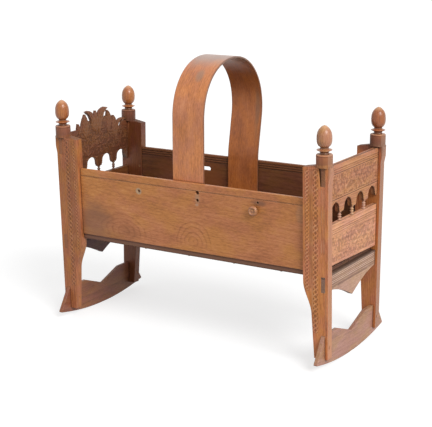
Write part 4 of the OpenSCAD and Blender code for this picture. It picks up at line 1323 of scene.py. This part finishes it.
# each board's skins: its end, its face, the bottom, top and half width of the carving, and its heights
carving = {
    "foot_frieze_board": [(foot, 1, 440, 569, 156, friezeHeight)],
    "foot_lower_panel": [(foot, 1, 295, 400, 152, panelHeight(cradle["sills"]["foot"]))],
    "head_lower_panel": [(head, 1, 295, 420, 152, panelHeight(cradle["sills"]["head"]))],
    "foot_apron": [(foot, 1, 222, 266, 149, apronHeight)],
    "head_apron": [(head, 1, 222, 266, 149, apronHeight), (head, -1, 222, 266, 149, apronHeight)],
    "head_crest_board": [(head, -1, 460, 648, 153, crestHeight), (head, 1, 460, 648, 131, crestHeight)],
}
for node, skins in carving.items():
    bm = takeNode(node)
    softenEdges(bm, endSettings["edge"])
    darken(bm, endDirtAndShade)
    joinInto(bm, *(endSkin(*skin) for skin in skins))
    finishPiece(bm, f"{node}_carved", node)
print("end boards are carved")


# Spindles under the pendants, and the lacing knob

spindleSettings = {
    "height": 27.0, "width": 11.0, "pin": 5.5, "pinLength": 6.0,
    "bulbs": ((7.0, 13.2), (13.6, 19.8)),    # bottom and top of each
}


def spindleOutline(s):
    r, pin, h, reach = s["width"] / 2, s["pin"] / 2, s["height"], s["pinLength"]
    outline = [(0, -reach), (pin, -reach), (pin, 0.02), (r * 0.92, 0.02), (r, 0.5), (r, 2.2),
               (r * 0.92, 2.8), (r * 0.58, 4.2), (r * 0.52, 5.6), (r * 0.6, 6.8)]
    for low, high in s["bulbs"]:
        outline += [(r * (0.62 + 0.38 * math.sin(math.pi * i / 8)), low + (high - low) * i / 8)
                    for i in range(9)]
    outline += [(r * 0.55, 20.6), (r * 0.52, 21.6), (r * 0.7, 23.2), (r, 24.4), (r, h - 0.5),
                (r * 0.92, h - 0.02), (pin, h - 0.02), (pin, h + reach), (0, h + reach)]
    return outline


for endName, end in ends.items():
    for i in (1, 2, 3):
        node = f"{endName}_spindle_{i}"
        bm = turnedShape(spindleOutline(spindleSettings), 32)
        thick = cradle["crestThick"] if end == head else cradle["endThick"]
        place = Vector((end * (cradle["endX"] + thick / 2), (i - 2) * cradle["archPitch"],
                        cradle["sills"][endName]))
        bmesh.ops.translate(bm, vec=place, verts=bm.verts)
        finishPiece(bm, f"{node}_turned", node, smoothBelow=50)

knobSettings = {"x": 231.0, "z": 433.0, "width": 30.0, "out": 17.0, "shank": 9.0}


def knobOutline(s):
    r, out, shank = s["width"] / 2, s["out"], s["shank"] / 2
    outline = [(0, -cradle["sideThick"]), (shank, -cradle["sideThick"]), (shank, 0.03), (r * 0.66, 0.03),
               (r * 0.66, 0.9), (r * 0.58, 1.8), (r * 0.54, out * 0.22), (r * 0.58, out * 0.30),
               (r * 0.80, out * 0.37), (r * 0.95, out * 0.43), (r * 0.99, out * 0.5)]
    for i in range(1, 9):    # round over the rim
        turn = math.pi * i / 9
        outline.append((r * (0.80 + 0.20 * math.cos(turn)), out * (0.56 + 0.42 * math.sin(turn * 0.62))))
    outline += [(r * 0.52, out * 0.86), (r * 0.42, out * 0.83), (r * 0.30, out * 0.84), (r * 0.2, out * 0.88),
                (r * 0.1, out * 0.9), (0, out * 0.905)]
    return outline


bm = turnedShape(knobOutline(knobSettings), 48)
knobSeat = cradle["sideInset"] + cradle["sideThick"]
placeOnSide(bm, front, knobSettings["x"], knobSeat, knobSettings["z"], outwards=True)
finishPiece(bm, "lacing_knob_turned", "lacing_knob", smoothBelow=50)
print("spindles and knob are turned")
